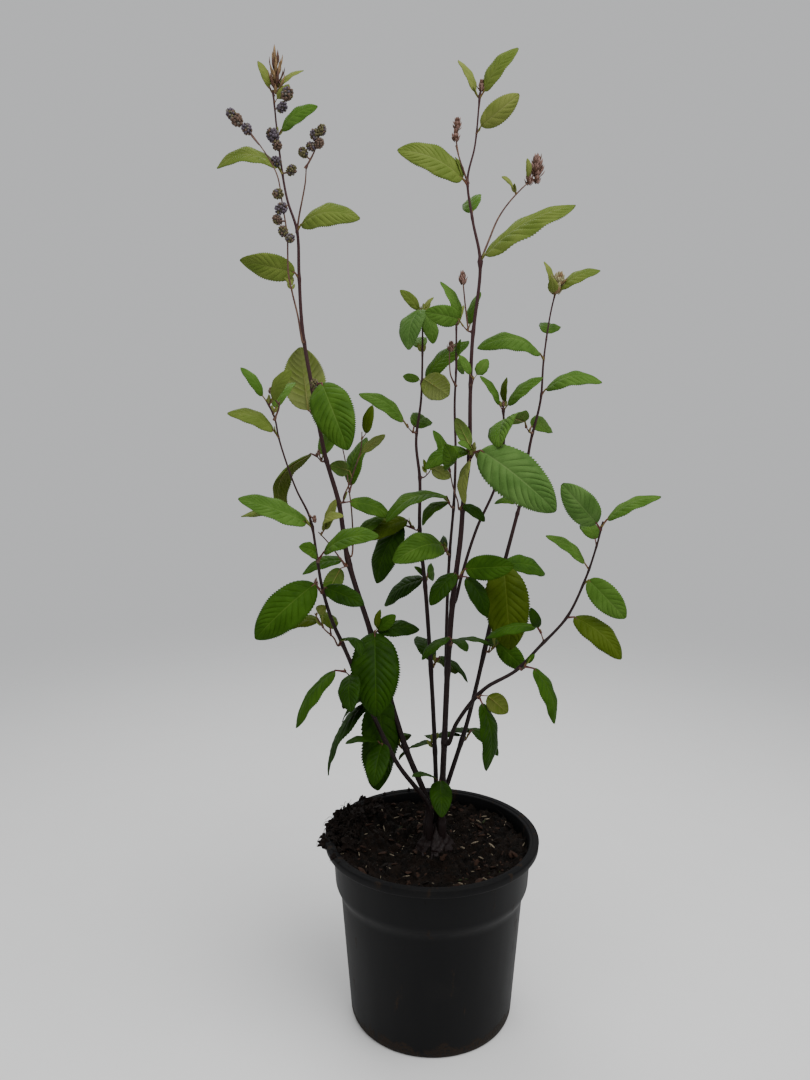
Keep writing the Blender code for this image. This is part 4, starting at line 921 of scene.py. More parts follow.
def twigPoints(points, step):
    line = curve([point / mm for point in points], 4)
    return [along(line, share)[0] for share in spanned(line, 0, 1, step)]


def stalkOf(bm, leaf):
    # the leaf's stalk, which runs on under the blade as its raised midrib
    least, most = twigs["stalkSizes"]
    radius = twigs["stalkRadius"] * min(max(leaf["length"] / mm / twigs["stalkFor"], least), most)
    reach = leaf["base"] - leaf["start"]
    points = [leaf["start"] - reach.normalized() * twigs["stalkSunk"] * mm,
              leaf["start"].lerp(leaf["base"], 0.5), leaf["base"]]
    radii = [radius * twigs["stalkFoot"], radius, radius * 0.95]
    rings = twigs["ribRings"]
    for i in range(1, rings + 1):
        point, way, normal = bladeFrame(leaf, twigs["ribReach"] * i / rings)
        radii.append(radius + (twigs["ribEnd"] - radius) * i / rings)
        below = blade["groove"] * leaf["width"] + (radii[-1] + twigs["ribAir"]) * mm
        points.append(point - normal * below)
    slot = 1 + (leaf["tint"] in ("young", "light", "bright"))
    slots = [slot] * 3 + [twigs["ribSlot"]] * rings
    turnedTube(bm, points, [r * mm for r in radii], twigs["stalkSides"], slots=slots)


def axilBud(bm, place, way):        # a small leaf bud
    made = bmesh.ops.create_uvsphere(bm, u_segments=8, v_segments=6, radius=1)["verts"]
    turn = way.to_track_quat("Z", "Y").to_matrix()
    for v in made:
        narrow = twigs["axilRadius"] * (1 - twigs["axilNarrow"] * max(v.co.z, 0))
        v.co = place + turn @ Vector((v.co.x * narrow, v.co.y * narrow, v.co.z * twigs["axilLength"])) * mm
    painted(made, twigs["axilGreen"])


def budStalkOf(bm, mass, i):
    # a flower bud stands on the nearest twig, or on a bud before it
    place, radius, tall = mass["budsAt"][i]
    feet = [nearest(mass["stem"], place)] + [other for other, *_ in mass["budsAt"][:i]]
    foot = min(feet, key=lambda point: (point - place).length)
    reach = place - foot
    if reach.length > radius * budSeated * mm:
        sag = up * reach.length * twigs["budSag"]
        rings = twigs["budRings"]
        path = [foot + reach * k / rings - sag * math.sin(math.pi * k / rings) for k in range(rings + 1)]
        radii = [budStalk * mm * (twigs["collar"] - twigs["budTaper"] * k) for k in range(rings + 1)]
        turnedTube(bm, path, radii, twigs["stalkSides"])


def makeTwigs(plan):
    bm = bmesh.new()
    rng = random.Random(11)
    for mass in plan.values():
        for points, first, last in ownTwigs(mass):
            path = twigPoints(points, twigs["step"])
            path.insert(0, path[0] - (path[1] - path[0]).normalized() * twigs["sunk"] * mm)
            thin = [radius * twigs["thin"] for radius in faded(first, last, len(path) - 1)]
            thin[0] = thin[1] = first * twigs["collar"]
            turnedTube(bm, path, [r * mm for r in thin], twigs["sides"], twigs["relief"])
        for leaf in mass["grown"]:
            stalkOf(bm, leaf)
            if rng.random() < twigs["axilShare"]:
                lean = (leaf["base"] - leaf["start"]).normalized() * twigs["axilLean"]
                way = (lean + up).normalized()
                axilBud(bm, leaf["start"] + way * twigs["axilSeat"] * mm, way)
        for i in range(len(mass["budsAt"])):
            budStalkOf(bm, mass, i)
    materials = [twigMaterial("young twig", twigs["young"], twigs["pale"]),
                 twigMaterial("red leaf stalk", twigs["stalkColour"], twigs["young"]),
                 twigMaterial("green leaf stalk", twigs["stalkGreen"], twigs["stalkColour"]),
                 twigMaterial("raised midrib", twigs["ribColour"], twigs["stalkGreen"])]
    piece("twigs", bm, materials, massNodes)
    print("twigs: masses", len(plan))


# Leaves

blade = dict(
    thickness=0.3, ends=(0.48, 0.62),           # how pointed the outline is at its base and at its tip
    veinSpace=4.7, fewestVeins=5, mostVeins=11,
    slant=0.27, slantCurve=1.15,                # how far a side vein leans toward the tip
    columns=(0, 0.028, 0.2, 0.42, 0.64, 0.84, 1),           # from the midrib to the margin
    rows=(0, 0.055, 0.2, 0.35, 0.5, 0.65, 0.8, 0.945),      # from one side vein to the next
    small=16, smallVeins=3, smallColumns=(0, 0.08, 0.5, 1), smallRows=(0, 0.25, 0.5, 0.75),
    pucker=0.03, pillow=0.7, endFade=1.3,       # how the skin swells between veins, less at the ends
    groove=0.018, grooveHalf=0.2, droop=1.5, foldStray=(-0.12, 0.12), lean=0.04,
    tooth=0.1, toothLean=0.011, toothFade=0.5, wave=0.05, waves=2.7, waveShift=2,
    pairShare=0.24, pairLength=(5, 9), pairTurn=(0.4, 1.1), pairLevel=(0.35, 0.9), pairSeat=1.6,
    pairShape=0.42, pairArch=(-0.1, 0.02), pairFace=0.4,
    most=80000,                                 # the faces of one piece, with its walls
    # the next share is how much of the upper colour the side-vein strips keep; their darker colour is
    # painted shade in the impressed veins
    gloss=0.05, paintedGrooveShade=0.45, backRough=0.16, backSlots=3,
    # a leaf's tint is dealt from the first band that it stands above
    bands=((565, ("light", "light", "bright")), (455, ("bright", "mid", "light", "bright")),
           (345, ("mid", "green", "mid", "olive")), (0, ("green", "dark", "olive"))),
    tints=dict(
        light=dict(upper=(0.118, 0.155, 0.03), deep=(0.082, 0.12, 0.018), vein=(0.14, 0.17, 0.045),
                   under=(0.14, 0.165, 0.05), rough=0.54),
        bright=dict(upper=(0.072, 0.142, 0.022), deep=(0.044, 0.1, 0.011), vein=(0.095, 0.155, 0.032),
                    under=(0.1, 0.13, 0.032), rough=0.54),
        fresh=dict(upper=(0.08, 0.152, 0.036), deep=(0.048, 0.105, 0.02), vein=(0.105, 0.165, 0.05),
                   under=(0.1, 0.13, 0.04), rough=0.54),
        mid=dict(upper=(0.054, 0.114, 0.013), deep=(0.03, 0.073, 0.0065), vein=(0.075, 0.128, 0.022),
                 under=(0.09, 0.118, 0.028), rough=0.52),
        green=dict(upper=(0.036, 0.088, 0.007), deep=(0.02, 0.056, 0.003), vein=(0.058, 0.105, 0.014),
                   under=(0.08, 0.105, 0.024), rough=0.52),
        olive=dict(upper=(0.06, 0.09, 0.008), deep=(0.037, 0.062, 0.0035), vein=(0.08, 0.104, 0.015),
                   under=(0.092, 0.106, 0.024), rough=0.54),
        dark=dict(upper=(0.0165, 0.048, 0.0018), deep=(0.0085, 0.027, 0.0009), vein=(0.027, 0.058, 0.004),
                  under=(0.045, 0.062, 0.01), rough=0.44),
        young=dict(upper=(0.16, 0.185, 0.045), deep=(0.115, 0.145, 0.028), vein=(0.19, 0.2, 0.07),
                   under=(0.17, 0.185, 0.06), rough=0.55),
    ),
)


def leafMaterials(name, tint):
    share = blade["paintedGrooveShade"]
    # the groove colour, darker than the upper side, is painted shade in the impressed side veins
    groove = tuple(share * a + (1 - share) * b for a, b in zip(tint["upper"], tint["deep"]))
    shades = dict(upper=(tint["upper"], tint["deep"]), groove=(groove, tint["deep"]),
                  midrib=(tint["vein"], tint["upper"]), under=(tint["under"], tint["upper"]),
                  net=(tint["vein"], tint["under"]), rib=(tint["vein"], tint["under"]))
    made = []
    for part, (colour, deep) in shades.items():
        g = Graph(f"{name} leaf {part}", Specular_IOR_Level=blade["gloss"])
        patches = g.cloud(13, 3)
        grain = g.cloud(0.8, 2)
        net = g.step(g.cells(1.5, "DISTANCE_TO_EDGE"), 0.0, 0.22)
        tone = g.step(patches, 0.35, 0.65) * 0.7 + g.step(grain, 0.4, 0.7) * 0.15 + net * 0.15
        g.colour(g.mix(tone, deep, colour))
        matt = tint["rough"] + (blade["backRough"] if part in ("under", "net", "rib") else 0)
        g.rough(matt + patches * 0.1 + grain * 0.06)
        g.bump(g.cloud(2.6, 2), 0.1, 0.3)
        made.append(g.material)
    return made


def bladeSheet(bm, leaf, rng):
    # a sheet whose rows of faces run along the side veins, with its margin toothed
    width = leaf["width"]
    small = leaf["length"] < blade["small"] * mm
    veins = round(leaf["length"] / mm / blade["veinSpace"])
    veins = blade["smallVeins"] if small else min(max(veins, blade["fewestVeins"]), blade["mostVeins"])
    half = blade["smallColumns"] if small else blade["columns"]
    columns = [-c for c in reversed(half[1:])] + list(half)
    rows = blade["smallRows"] if small else blade["rows"]
    wide, tall = len(columns) - 1, veins * len(rows)
    made = bmesh.ops.create_grid(bm, x_segments=wide, y_segments=tall, size=1)["verts"]
    for face in {face for v in made for face in v.link_faces}:
        centre = face.calc_center_median()
        i = int((centre.x + 1) / 2 * wide)
        j = int((centre.y + 1) / 2 * tall) % len(rows)
        onVein = not small and j in (0, len(rows) - 1) and 0 < i < wide - 1
        # the side-vein strips take the groove material, painted shade in the impressed veins, and the
        # middle columns take the midrib's
        face.material_index = 2 if i in (wide // 2 - 1, wide // 2) else int(onVein)
    lean, phase = rng.uniform(-1, 1), rng.uniform(0, math.tau)
    fold = leafFold + rng.uniform(*blade["foldStray"])
    for v in made:
        side = columns[round((v.co.x + 1) / 2 * wide)]
        j = round((v.co.y + 1) / 2 * tall)
        out = abs(side)
        even = j % len(rows) / len(rows)
        gap = even if out == 1 else rows[j % len(rows)]
        s = (j // len(rows) + gap) / veins
        tooth = (j % 2) * (out == 1) * math.sin(math.pi * s) ** blade["toothFade"]
        t = s + blade["slant"] * 4 * s * (1 - s) * out ** blade["slantCurve"] + tooth * blade["toothLean"]
        t = min(t, 1)
        point, way, normal = bladeFrame(leaf, t)
        span = outline(t, blade["ends"])
        reach = width / 2 * span * (1 + tooth * blade["tooth"])
        pillow = math.sin(math.pi * gap) ** blade["pillow"] * 4 * out * (1 - out)
        ripple = math.sin(math.tau * blade["waves"] * t + phase + blade["waveShift"] * (side > 0))
        height = blade["pucker"] * width * pillow * min(1, span * blade["endFade"])
        height += blade["groove"] * width * (min(out, blade["grooveHalf"]) / blade["grooveHalf"] - 1)
        height += fold * reach * out ** blade["droop"]
        height += blade["wave"] * reach * out * out * ripple
        height += blade["lean"] * lean * side * reach
        v.co = point + way.cross(normal) * reach * side + normal * height
    bmesh.ops.remove_doubles(bm, verts=made, dist=seam)


def youngPair(leaf, rng):
    # the two very small leaves in a leaf's axil
    level = leaf["base"] - leaf["start"]
    level.z = 0
    level = level.normalized() if level.length > seam else Vector((0, -1, 0))
    pair = []
    for turn in (-1, 1):
        way = Matrix.Rotation(turn * rng.uniform(*blade["pairTurn"]), 3, up) @ level
        way = (way * rng.uniform(*blade["pairLevel"]) + up).normalized()
        length = rng.uniform(*blade["pairLength"]) * mm
        base = leaf["start"] + way * blade["pairSeat"] * mm
        pair.append(dict(start=leaf["start"], base=base, tip=base + way * length, length=length,
                         width=length * blade["pairShape"],
                         normal=across(way, up * blade["pairFace"] - level),
                         arch=rng.uniform(*blade["pairArch"]), twist=0, tint="young"))
    return pair


def dealTints(plan):
    # shortens each stalk, and gives each leaf without a tint of its own one by its height
    rng = random.Random(9)
    for mass in plan.values():
        for leaf in mass["grown"]:
            leaf["base"] = leaf["start"].lerp(leaf["base"], twigs["stalkShare"])
            leaf["length"] = (leaf["tip"] - leaf["base"]).length
            if leaf["tint"] == "plain":
                dealt = next(dealt for least, dealt in blade["bands"] if leaf["base"].z > least * mm)
                leaf["tint"] = rng.choice(dealt)


def makeLeaves(plan):
    rng = random.Random(5)
    sheets = {tint: [bmesh.new()] for tint in blade["tints"]}
    count = 0
    for mass in plan.values():
        for leaf in mass["grown"]:
            parts = sheets[leaf["tint"]]
            if len(parts[-1].faces) > blade["most"] / 2:
                parts.append(bmesh.new())
            bladeSheet(parts[-1], leaf, rng)
            count += 1
            if rng.random() < blade["pairShare"]:
                for small in youngPair(leaf, rng):
                    bladeSheet(sheets["young"][-1], small, rng)
    for tint, parts in sheets.items():
        materials = leafMaterials(tint, blade["tints"][tint])
        for i, bm in enumerate(parts):
            made = piece(f"{tint}_leaves_{i}", bm, materials, massNodes)
            walled(made, blade["thickness"], blade["backSlots"])
    print("leaves:", count)


# Flower buds

buds = dict(
    beads=42, bead=0.255, beadSizes=(0.7, 1.2), beadSunk=0.85, core=0.77, jitter=0.16, stretch=1.22,
    pointed=0.2, pointedFor=3, ownShare=0.6,            # how many beads of a cluster have its own colour
    colours=dict(mauve=(0.118, 0.094, 0.118), grey=(0.165, 0.145, 0.125), olive=(0.135, 0.12, 0.05),
                 brown=(0.15, 0.095, 0.068), core=(0.07, 0.058, 0.042)),
    scales=38, scaleLength=0.62, scaleWidth=0.24, scaleSizes=(0.6, 1.3), scaleBow=0.14, scaleCup=0.6,
    scaleEnd=0.14, scaleFull=0.8, axis=0.12, axisFoot=0.2, rise=1.5, spread=0.2, spreadFoot=0.45,
    scaleColours=dict(tan=(0.27, 0.17, 0.08), pink=(0.27, 0.155, 0.125), brown=(0.12, 0.058, 0.036),
                      cream=(0.4, 0.36, 0.19)),
    scaleThickness=0.18,
    spreadSizes=(0.6, 1.4), scaleReach=0.4,
    smallest=3,                                         # under this radius a bud is scaly too
    scaly=("centre_leader_top", "centre_leader_crown_leaves", "thin_stem_top"),
    cream="right_stem_top",
    # a scaly bud's width and height for its radius, and the colours of its scales in turn
    creamBud=(1.9, 1.25, (3, 3, 0)), pinkBud=(1.2, 1.25, (1, 2, 1)), tallBud=(0, 2, 0),
    clusterSize=0.95, clusterSlots=(2, 0, 3, 0), turnedUp=0.6,
)


def beadCluster(bm, place, way, radius, rng, mostly):
    part = bmesh.new()
    turn = way.to_track_quat("Z", "Y").to_matrix()
    core = bmesh.ops.create_icosphere(part, subdivisions=2, radius=radius * buds["core"] * mm)["verts"]
    bmesh.ops.translate(part, verts=core, vec=place)
    painted(core, 4)
    for i in range(buds["beads"]):
        z = 1 - 2 * (i + 0.5) / buds["beads"]
        ring = math.sqrt(1 - z * z)
        out = Vector((ring * math.cos(i * goldenAngle), ring * math.sin(i * goldenAngle), z))
        out = (out + Vector([rng.uniform(-1, 1) for _ in range(3)]) * buds["jitter"]).normalized()
        size = radius * buds["bead"] * rng.uniform(*buds["beadSizes"]) * mm
        far = Vector((out.x, out.y, out.z * buds["stretch"])) * (radius * mm - size * buds["beadSunk"])
        centre = place + turn @ far
        out = turn @ out
        slot = mostly if rng.random() < buds["ownShare"] else rng.randrange(4)
        bead = bmesh.ops.create_uvsphere(part, u_segments=7, v_segments=5, radius=size)["verts"]
        for v in bead:
            pointed = max(v.co.normalized().dot(out), 0) ** buds["pointedFor"]
            v.co = centre + v.co * (1 + buds["pointed"] * pointed)
        painted(bead, slot)
    joined(bm, part)


def budScale(bm, base, tip, width, outward, slot):
    # one pointed scale, a narrow cupped blade
    made = bmesh.ops.create_grid(bm, x_segments=4, y_segments=6, size=1)["verts"]
    way = tip - base
    side = way.cross(outward).normalized()
    for v in made:
        t = (v.co.y + 1) / 2
        foot = min(t * (1 - buds["scaleEnd"]) + buds["scaleEnd"], 1)
        half = width * math.sin(math.pi * foot) ** buds["scaleFull"]
        bow = math.sin(math.pi * t) * buds["scaleBow"] * way.length
        cup = v.co.x ** 2 * half * buds["scaleCup"]
        v.co = base + way * t + side * half * v.co.x + outward * (bow - cup)
    painted(made, slot)
    bmesh.ops.remove_doubles(bm, verts=made, dist=seam)


def scaleSpike(bm, place, radius, tall, rng, slots):
    # scales wound round an axis, the lower ones spread and the upper ones upright
    part = bmesh.new()
    for i, share in enumerate(faded(0, 1, buds["scales"] - 1)):
        out = Vector((math.cos(i * goldenAngle), math.sin(i * goldenAngle), 0))
        axis = out * radius * (buds["axis"] + buds["axisFoot"] * (1 - share))
        base = place + (axis + up * tall * (buds["rise"] * share - 1)) * mm
        spread = (buds["spread"] + buds["spreadFoot"] * (1 - share)) * rng.uniform(*buds["spreadSizes"])
        way = (out * spread + up).normalized()
        reach = tall * buds["scaleLength"] + radius * buds["scaleReach"]
        reach = reach * rng.uniform(*buds["scaleSizes"]) * mm
        width = radius * buds["scaleWidth"] * mm
        budScale(part, base, base + way * reach, width, out, slots[i % len(slots)])
    joined(bm, part)


def budMaterial(name, colour):
    g = Graph(name, Specular_IOR_Level=0.25)
    grain = g.cloud(1.2, 3)
    g.colour(g.mix(g.step(grain, 0.3, 0.75), tuple(c * 0.5 for c in colour), colour))
    g.rough(0.62 + grain * 0.2)
    g.bump(g.cloud(0.35, 2), 0.12, 0.8)
    return g.material


def makeBuds(plan):
    rng = random.Random(3)
    beads, scales = bmesh.new(), bmesh.new()
    for name, mass in plan.items():
        for i, (place, radius, tall) in enumerate(mass["budsAt"]):
            reach = place - nearest(mass["stem"], place)
            way = (reach.normalized() + up * buds["turnedUp"]).normalized() if reach.length > seam else up
            if tall > radius:
                scaleSpike(scales, place, radius, tall, rng, buds["tallBud"])
            elif name in (buds["cream"], *buds["scaly"]) or radius < buds["smallest"]:
                wide, high, slots = buds["creamBud" if name == buds["cream"] else "pinkBud"]
                scaleSpike(scales, place, radius * wide, radius * high, rng, slots)
            else:
                slots = buds["clusterSlots"]
                beadCluster(beads, place, way, radius * buds["clusterSize"], rng, slots[i % len(slots)])
    materials = [budMaterial(f"{name} buds", colour) for name, colour in buds["colours"].items()]
    piece("flower_buds", beads, materials, massNodes)
    materials = [budMaterial(f"{name} bud scales", colour) for name, colour in buds["scaleColours"].items()]
    walled(piece("bud_scales", scales, materials, massNodes), buds["scaleThickness"])
    print("flower buds")


# Soil

soil = dict(
    level=soilLevel, flat=20, heap=(-62, 16), heapSpread=26, heapHeight=13.5, ripple=(0.11, 0.13), wave=1.6,
    steps=220, rings=72, lumps=3, lumpSize=14, crumbs=4.8, crumbSize=5, moundHeight=7, moundSpread=20,
    brim=4.5, brimFor=78, spill=(-52, 50), spillSpread=23, spillHeight=9,   # the heap's back, at the left
    dark=(0.0019, 0.0012, 0.0007), brown=(0.0072, 0.004, 0.0023), dry=(0.03, 0.017, 0.0085),
    chips=520, chipSizes=(1.1, 5), chipFew=1.6, chipReach=(0.01, 0.96), chipSunk=0.12, chipTilt=0.6,
    chipBroad=(0.25, 0.6), chipFlat=(0.12, 0.3), chipRagged=0.4, chipRough=1.7,
    sliver=3.2, sliverBroad=(0.11, 0.22),               # the longest chip of wood, and how broad one is
    chipKinds=(6, 2.4, 1.6, 0.5),                       # bark, wood, dark crumbs and moss
    barkChip=(0.028, 0.012, 0.006), woodChip=(0.22, 0.18, 0.125), moss=(0.016, 0.022, 0.005),
    fibres=170, fibreColour=(0.008, 0.0044, 0.0026), fibreRadius=0.27, fibreTaper=0.1, fibreRings=7,
    fibreSides=4, fibreReach=(0.02, 0.95), fibreAir=0.3, fibreLength=(6, 14), fibreStep=(0.5, 1.2),
    fibreBend=0.5, fibreRise=0.6, fibreSag=0.12,
    clods=230, clodSizes=(0.9, 5.2), clodFew=1.3,               # peat that spills over the rim at the left
    clodTurn=(2.86, 0.33), clodReach=(0.7, 1.015), clodShape=(0.5, 1.3), clodSunk=0.25, clodOver=0.75,
    clodRagged=(0.9, 0.8), clodRough=(1.9, 4.5), clodColour=(0.0085, 0.0046, 0.0028),
    clodFibres=230, clodFibreOut=(-0.2, 1), clodFibreRise=0.9, clodFibreLength=(6, 15),
    clodFibreSag=(0.15, 0.6), clodFibreThick=1.3,
    rimPile=1.6, rimFall=1.5, rimEdge=2,        # how high peat lies on the rim, and how it falls off
)


def bell(x, y, middle, spread):
    return math.exp(-((x - middle[0]) ** 2 + (y - middle[1]) ** 2) / spread ** 2)


def soilHeight(x, y):       # the solid's own surface, in millimetres
    away = min(max((math.hypot(x, y) - soil["flat"]) / soil["flat"], 0), 1)
    wave = soil["wave"] * math.sin(x * soil["ripple"][0] + 1) * math.cos(y * soil["ripple"][1])
    return soil["level"] + away * (wave + soil["heapHeight"] * bell(x, y, soil["heap"], soil["heapSpread"]))


def soilSurface(x, y):      # with its lumps and crumbs, and a mound round the woody foot
    spot = Vector((x, y, 0))
    lump = noise.fractal(spot / soil["lumpSize"], 1, 2, 3) * soil["lumps"]
    crumb = (noise.turbulence(spot / soil["crumbSize"], 4, False) - 0.5) * soil["crumbs"]
    mound = soil["moundHeight"] * bell(x, y, footPlace, soil["moundSpread"])
    brim = soil["brim"] * (math.hypot(x, y) / soil["brimFor"]) ** 3
    spill = soil["spillHeight"] * bell(x, y, soil["spill"], soil["spillSpread"])
    return soilHeight(x, y) + lump + crumb + mound + brim + spill


def soilMaterial():
    g = Graph("peat", Specular_IOR_Level=0.15)
    lumps = g.cloud(9, 5)
    grit = g.cloud(1.4, 4)
    crumbs = g.cells(2.4)
    earth = g.mix(g.step(lumps, 0.35, 0.65), soil["dark"], soil["brown"])
    g.colour(g.mix(g.step(grit, 0.6, 0.74) * 0.6, earth, soil["dry"]))
    g.rough(0.86 + grit * 0.12)
    g.bump(grit + crumbs * 0.8, 1.1)
    return g.material


def crumbMaterial(name, colour, rough=0.82, size=2):
    g = Graph(name, Specular_IOR_Level=0.2)
    grain = g.cloud(size, 4)
    g.colour(g.mix(g.step(grain, 0.3, 0.7), tuple(c * 0.5 for c in colour), colour))
    g.rough(rough + grain * 0.1)
    g.bump(g.cloud(size / 4, 3), 0.3)
    return g.material


def spun(profile, steps):
    bm = bmesh.new()
    points = [bm.verts.new((r * mm, 0, z * mm)) for r, z in profile]
    edges = [bm.edges.new(pair) for pair in zip(points, points[1:])]
    bmesh.ops.spin(bm, geom=points + edges, cent=(0, 0, 0), axis=up, angle=math.tau, steps=steps,
                   use_merge=True)
    bmesh.ops.remove_doubles(bm, verts=bm.verts, dist=seam)
    bmesh.ops.recalc_face_normals(bm, faces=bm.faces)
    return bm


def makeSoil():
    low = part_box("soil")[0]
    foot, body, collar, neck = wallLine()
    wall = pot["wall"] + 0.3
    share = (soil["level"] - collar[1]) / (neck[1] - collar[1])
    edge = collar[0] + (neck[0] - collar[0]) * share - wall
    profile = [(0, low.z / mm), (foot[0] - wall - 2, low.z / mm), (foot[0] - wall, foot[1] + 2),
               (body[0] - wall, body[1]), (collar[0] - wall, collar[1]), (edge, soil["level"] - 6)]
    profile += [(edge * (1 - i / soil["rings"]), soil["level"]) for i in range(soil["rings"] + 1)]
    bm = spun(profile, soil["steps"])
    for v in bm.verts:
        if v.co.z > (soil["level"] - 1) * mm:
            v.co.z = soilSurface(v.co.x / mm, v.co.y / mm) * mm
    piece("soil_bed", bm, [soilMaterial()], ["soil"])
    makeChips(edge)
    makeFibres(edge)
    print("soil: chips", soil["chips"])


def makeChips(edge):
    rng = random.Random(21)
    bm = bmesh.new()
    least, most = soil["chipSizes"]
    for i in range(soil["chips"]):
        radius = edge * math.sqrt(rng.uniform(*soil["chipReach"]))
        turn = rng.uniform(0, math.tau)
        x, y = radius * math.cos(turn), radius * math.sin(turn)
        size = least * (most / least) ** rng.random() ** soil["chipFew"]
        made = bmesh.ops.create_icosphere(bm, subdivisions=2, radius=1)["verts"]
        kind = rng.choices((0, 1, 2, 3), soil["chipKinds"])[0]
        broad = rng.uniform(*soil["sliverBroad" if kind == 1 else "chipBroad"])
        size = min(size, soil["sliver"]) if kind == 1 else size
        shape = Vector((size, size * broad, size * rng.uniform(*soil["chipFlat"]))) * mm
        spin = Matrix.Rotation(rng.uniform(0, math.tau), 3, "Z")
        spin = spin @ Matrix.Rotation(rng.uniform(-soil["chipTilt"], soil["chipTilt"]), 3, "Y")
        centre = Vector((x, y, soilSurface(x, y) + size * soil["chipSunk"])) * mm
        for v in made:
            rough = noise.noise(v.co * soil["chipRough"] + Vector((i * 7.3, 0, 0)))
            ragged = 1 + soil["chipRagged"] * rough
            v.co = centre + spin @ Vector([a * b * ragged for a, b in zip(v.co, shape)])
        painted(made, kind)
    materials = [crumbMaterial("bark chip", soil["barkChip"]),
                 crumbMaterial("wood chip", soil["woodChip"], 0.75),
                 crumbMaterial("dark crumb", soil["brown"]), crumbMaterial("moss crumb", soil["moss"])]
    piece("soil_chips", bm, materials, ["soil"])


def fibre(bm, place, way, rng, length, sag, thick=1):
    points = [place]
    count = soil["fibreRings"]
    bend = soil["fibreBend"]
    for _ in range(count):
        way = (way + Vector([rng.uniform(-bend, bend) for _ in range(3)]) - up * sag).normalized()
        points.append(points[-1] + way * rng.uniform(*soil["fibreStep"]) * length / count * mm)
    radius = soil["fibreRadius"] * thick * mm
    radii = [radius * (1 - soil["fibreTaper"] * k) for k in range(count + 1)]
    turnedTube(bm, points, radii, soil["fibreSides"])


def makeFibres(edge):
    rng = random.Random(8)
    bm = bmesh.new()
    for i in range(soil["fibres"]):
        turn, radius = rng.uniform(0, math.tau), edge * math.sqrt(rng.uniform(*soil["fibreReach"]))
        x, y = radius * math.cos(turn), radius * math.sin(turn)
        way = Vector((rng.uniform(-1, 1), rng.uniform(-1, 1), rng.uniform(0, soil["fibreRise"])))
        place = Vector((x, y, soilSurface(x, y) + soil["fibreAir"]))
        fibre(bm, place * mm, way, rng, rng.uniform(*soil["fibreLength"]), soil["fibreSag"])
    for i in range(soil["clodFibres"]):
        place, out = spillPlace(edge, rng)
        side = Vector((-out.y, out.x, 0)) * rng.uniform(-1, 1)
        way = out * rng.uniform(*soil["clodFibreOut"]) + side + up * rng.uniform(0, soil["clodFibreRise"])
        length, sag = rng.uniform(*soil["clodFibreLength"]), rng.uniform(*soil["clodFibreSag"])
        fibre(bm, place * mm, way, rng, length, sag, soil["clodFibreThick"])
    piece("soil_fibres", bm, [crumbMaterial("peat fibre", soil["fibreColour"])], ["soil"])
    makeClods(edge, rng)


def spillPlace(edge, rng):
    # a place on the heap, on the rim or just over it, and the way outward there
    turn = rng.gauss(*soil["clodTurn"])
    out = Vector((math.cos(turn), math.sin(turn), 0))
    radius = pot["lipRadius"] * rng.uniform(*soil["clodReach"])
    if radius < edge - 1:
        height = soilSurface(out.x * radius, out.y * radius)
    else:
        past = max(radius - pot["lipRadius"] + soil["rimEdge"], 0)
        height = pot["height"] + rng.uniform(0, soil["rimPile"]) - soil["rimFall"] * past
    return out * radius + up * height, out


def makeClods(edge, rng):
    bm = bmesh.new()
    least, most = soil["clodSizes"]
    coarse, fine = soil["clodRough"]
    for i in range(soil["clods"]):
        place, out = spillPlace(edge, rng)
        size = least * (most / least) ** rng.random() ** soil["clodFew"]
        size *= soil["clodOver"] if out.dot(place) > edge - 1 else 1
        centre = (place + up * size * soil["clodSunk"]) * mm
        made = bmesh.ops.create_icosphere(bm, subdivisions=2 + (size > 2), radius=1)["verts"]
        shape = Vector([size * rng.uniform(*soil["clodShape"]) for _ in range(3)]) * mm
        for v in made:
            rough = noise.noise(v.co * coarse + Vector((i * 5.1, 0, 0))), noise.noise(v.co * fine)
            ragged = 1 + sum(a * b for a, b in zip(soil["clodRagged"], rough))
            v.co = centre + Vector([a * b * ragged for a, b in zip(v.co, shape)])
    piece("peat_clods", bm, [crumbMaterial("peat clod", soil["clodColour"], 0.9, 3)], ["soil"])


# Pot

pot = dict(
    height=155, baseRadius=66, footRadius=67.5, footHeight=4,
    bodyRadius=75.2, bodyHeight=109, collarRadius=79.3, collarHeight=116, neckRadius=81.3, bend=5,
    lipRadius=88, lipHeight=6.8, lipWidth=7.6, lipBevel=1.6, ledge=2.6, ledgeDrop=0.7, wall=1.8, floor=2.4,
    steps=180, round=5, drains=6, drainRadius=5, drainRing=48,
    black=(0.0021, 0.0021, 0.0025), dust=(0.016, 0.0145, 0.013), mud=(0.02, 0.0125, 0.0075),
)


def wallLine():
    return [(pot["footRadius"], pot["footHeight"]), (pot["bodyRadius"], pot["bodyHeight"]),
            (pot["collarRadius"], pot["collarHeight"]),
            (pot["neckRadius"], pot["height"] - pot["lipHeight"])]


def potMaterial():
    g = Graph("black pot plastic", Specular_IOR_Level=0.13)
    height = g.height()
    flow = g.cloud(16, 3, g.stretched(1, 1, 0.15))
    specks = g.cloud(1.3, 3)
    rim = g.step(height, 0.146, 0.156)
    foot = 1 - g.step(height, 0.002, 0.02)
    dust = g.step(g.cloud(38, 4) + rim * 0.1, 0.52, 0.85) * g.step(specks, 0.3, 0.7)
    mud = g.step(g.cloud(9, 3, g.stretched(1, 1, 0.3)) + foot * 0.38 + rim * 0.05, 0.64, 0.74)
    mud = mud * g.step(specks, 0.36, 0.56)
    g.colour(g.mix(mud * 0.85, g.mix(dust * 0.5, pot["black"], pot["dust"]), pot["mud"]))
    g.rough(0.46 + rim * 0.2 + flow * 0.12 + dust * 0.15 + mud * 0.2)
    g.bump(flow * 0.5 + g.cloud(0.5, 2) * 0.35 + mud * 1.5, 0.12, 0.5)
    return g.material


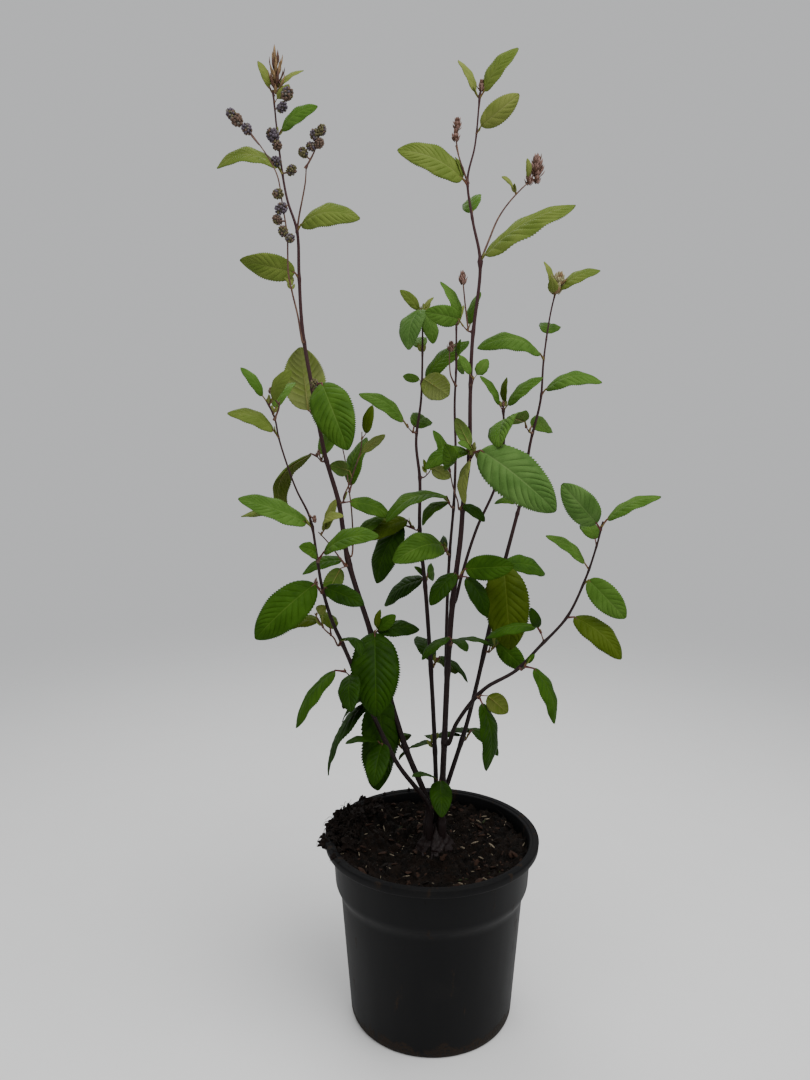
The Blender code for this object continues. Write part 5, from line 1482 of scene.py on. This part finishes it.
def rounded(corner, before, after, radius, steps):
    # an arc that rounds the corner between two neighbours
    corner, before, after = Vector(corner), Vector(before), Vector(after)
    start = corner + (before - corner).normalized() * radius
    end = corner + (after - corner).normalized() * radius
    return [tuple(start.lerp(corner, t).lerp(corner.lerp(end, t), t)) for t in faded(0, 1, steps)]


def softened(corners, radius, steps):
    # a line of corners with every inner one rounded
    points = [corners[0]]
    for before, corner, after in zip(corners, corners[1:], corners[2:]):
        room = min((Vector(corner) - Vector(before)).length, (Vector(after) - Vector(corner)).length) * 0.45
        wide = pot["bend"] if corner in wallLine()[1:3] else radius
        points += rounded(corner, before, after, min(wide, room), steps)
    return points + [corners[-1]]


def makePot():
    top, lip = pot["height"], pot["lipRadius"]
    neck = top - pot["lipHeight"]
    inner = lip - pot["lipWidth"]
    outside = [(0, 0), (pot["baseRadius"], 0), *wallLine(), (lip - 0.6, neck - 0.2), (lip, top),
               (inner + pot["ledge"], top), (inner + pot["ledge"] - 0.4, top - pot["ledgeDrop"]),
               (inner, top - pot["ledgeDrop"] - 0.2)]
    inside = [(radius - pot["wall"], z) for radius, z in reversed(wallLine())]
    profile = softened(outside + inside + [(inside[-1][0] - 2, pot["floor"]), (0, pot["floor"])],
                       pot["lipBevel"], pot["round"])
    made = piece("pot_shell", spun(profile, pot["steps"]), [potMaterial()], ["pot"], smooth=35)
    drill = bmesh.new()
    for i in range(pot["drains"]):
        angle = math.tau * (i + 0.5) / pot["drains"]
        place = Vector((math.cos(angle), math.sin(angle), 0)) * pot["drainRing"] * mm
        bmesh.ops.create_cone(drill, cap_ends=True, segments=32, radius1=pot["drainRadius"] * mm,
                              radius2=pot["drainRadius"] * mm, depth=4 * pot["floor"] * mm,
                              matrix=Matrix.Translation(place))
    drill = added("drill", drill)
    cut = made.modifiers.new("drain holes", "BOOLEAN")
    cut.object = drill
    bpy.context.view_layer.update()
    made.data = bpy.data.meshes.new_from_object(made.evaluated_get(bpy.context.evaluated_depsgraph_get()))
    made.modifiers.clear()
    bpy.data.objects.remove(drill)
    print("pot")


# Everything in turn

makeStudio()
makeFloor()
grown = growLimbs()
plan = growMasses(grown)
dealTints(plan)
makeBark(grown, plan)
makeTwigs(plan)
makeLeaves(plan)
makeBuds(plan)
makeSoil()
makePot()
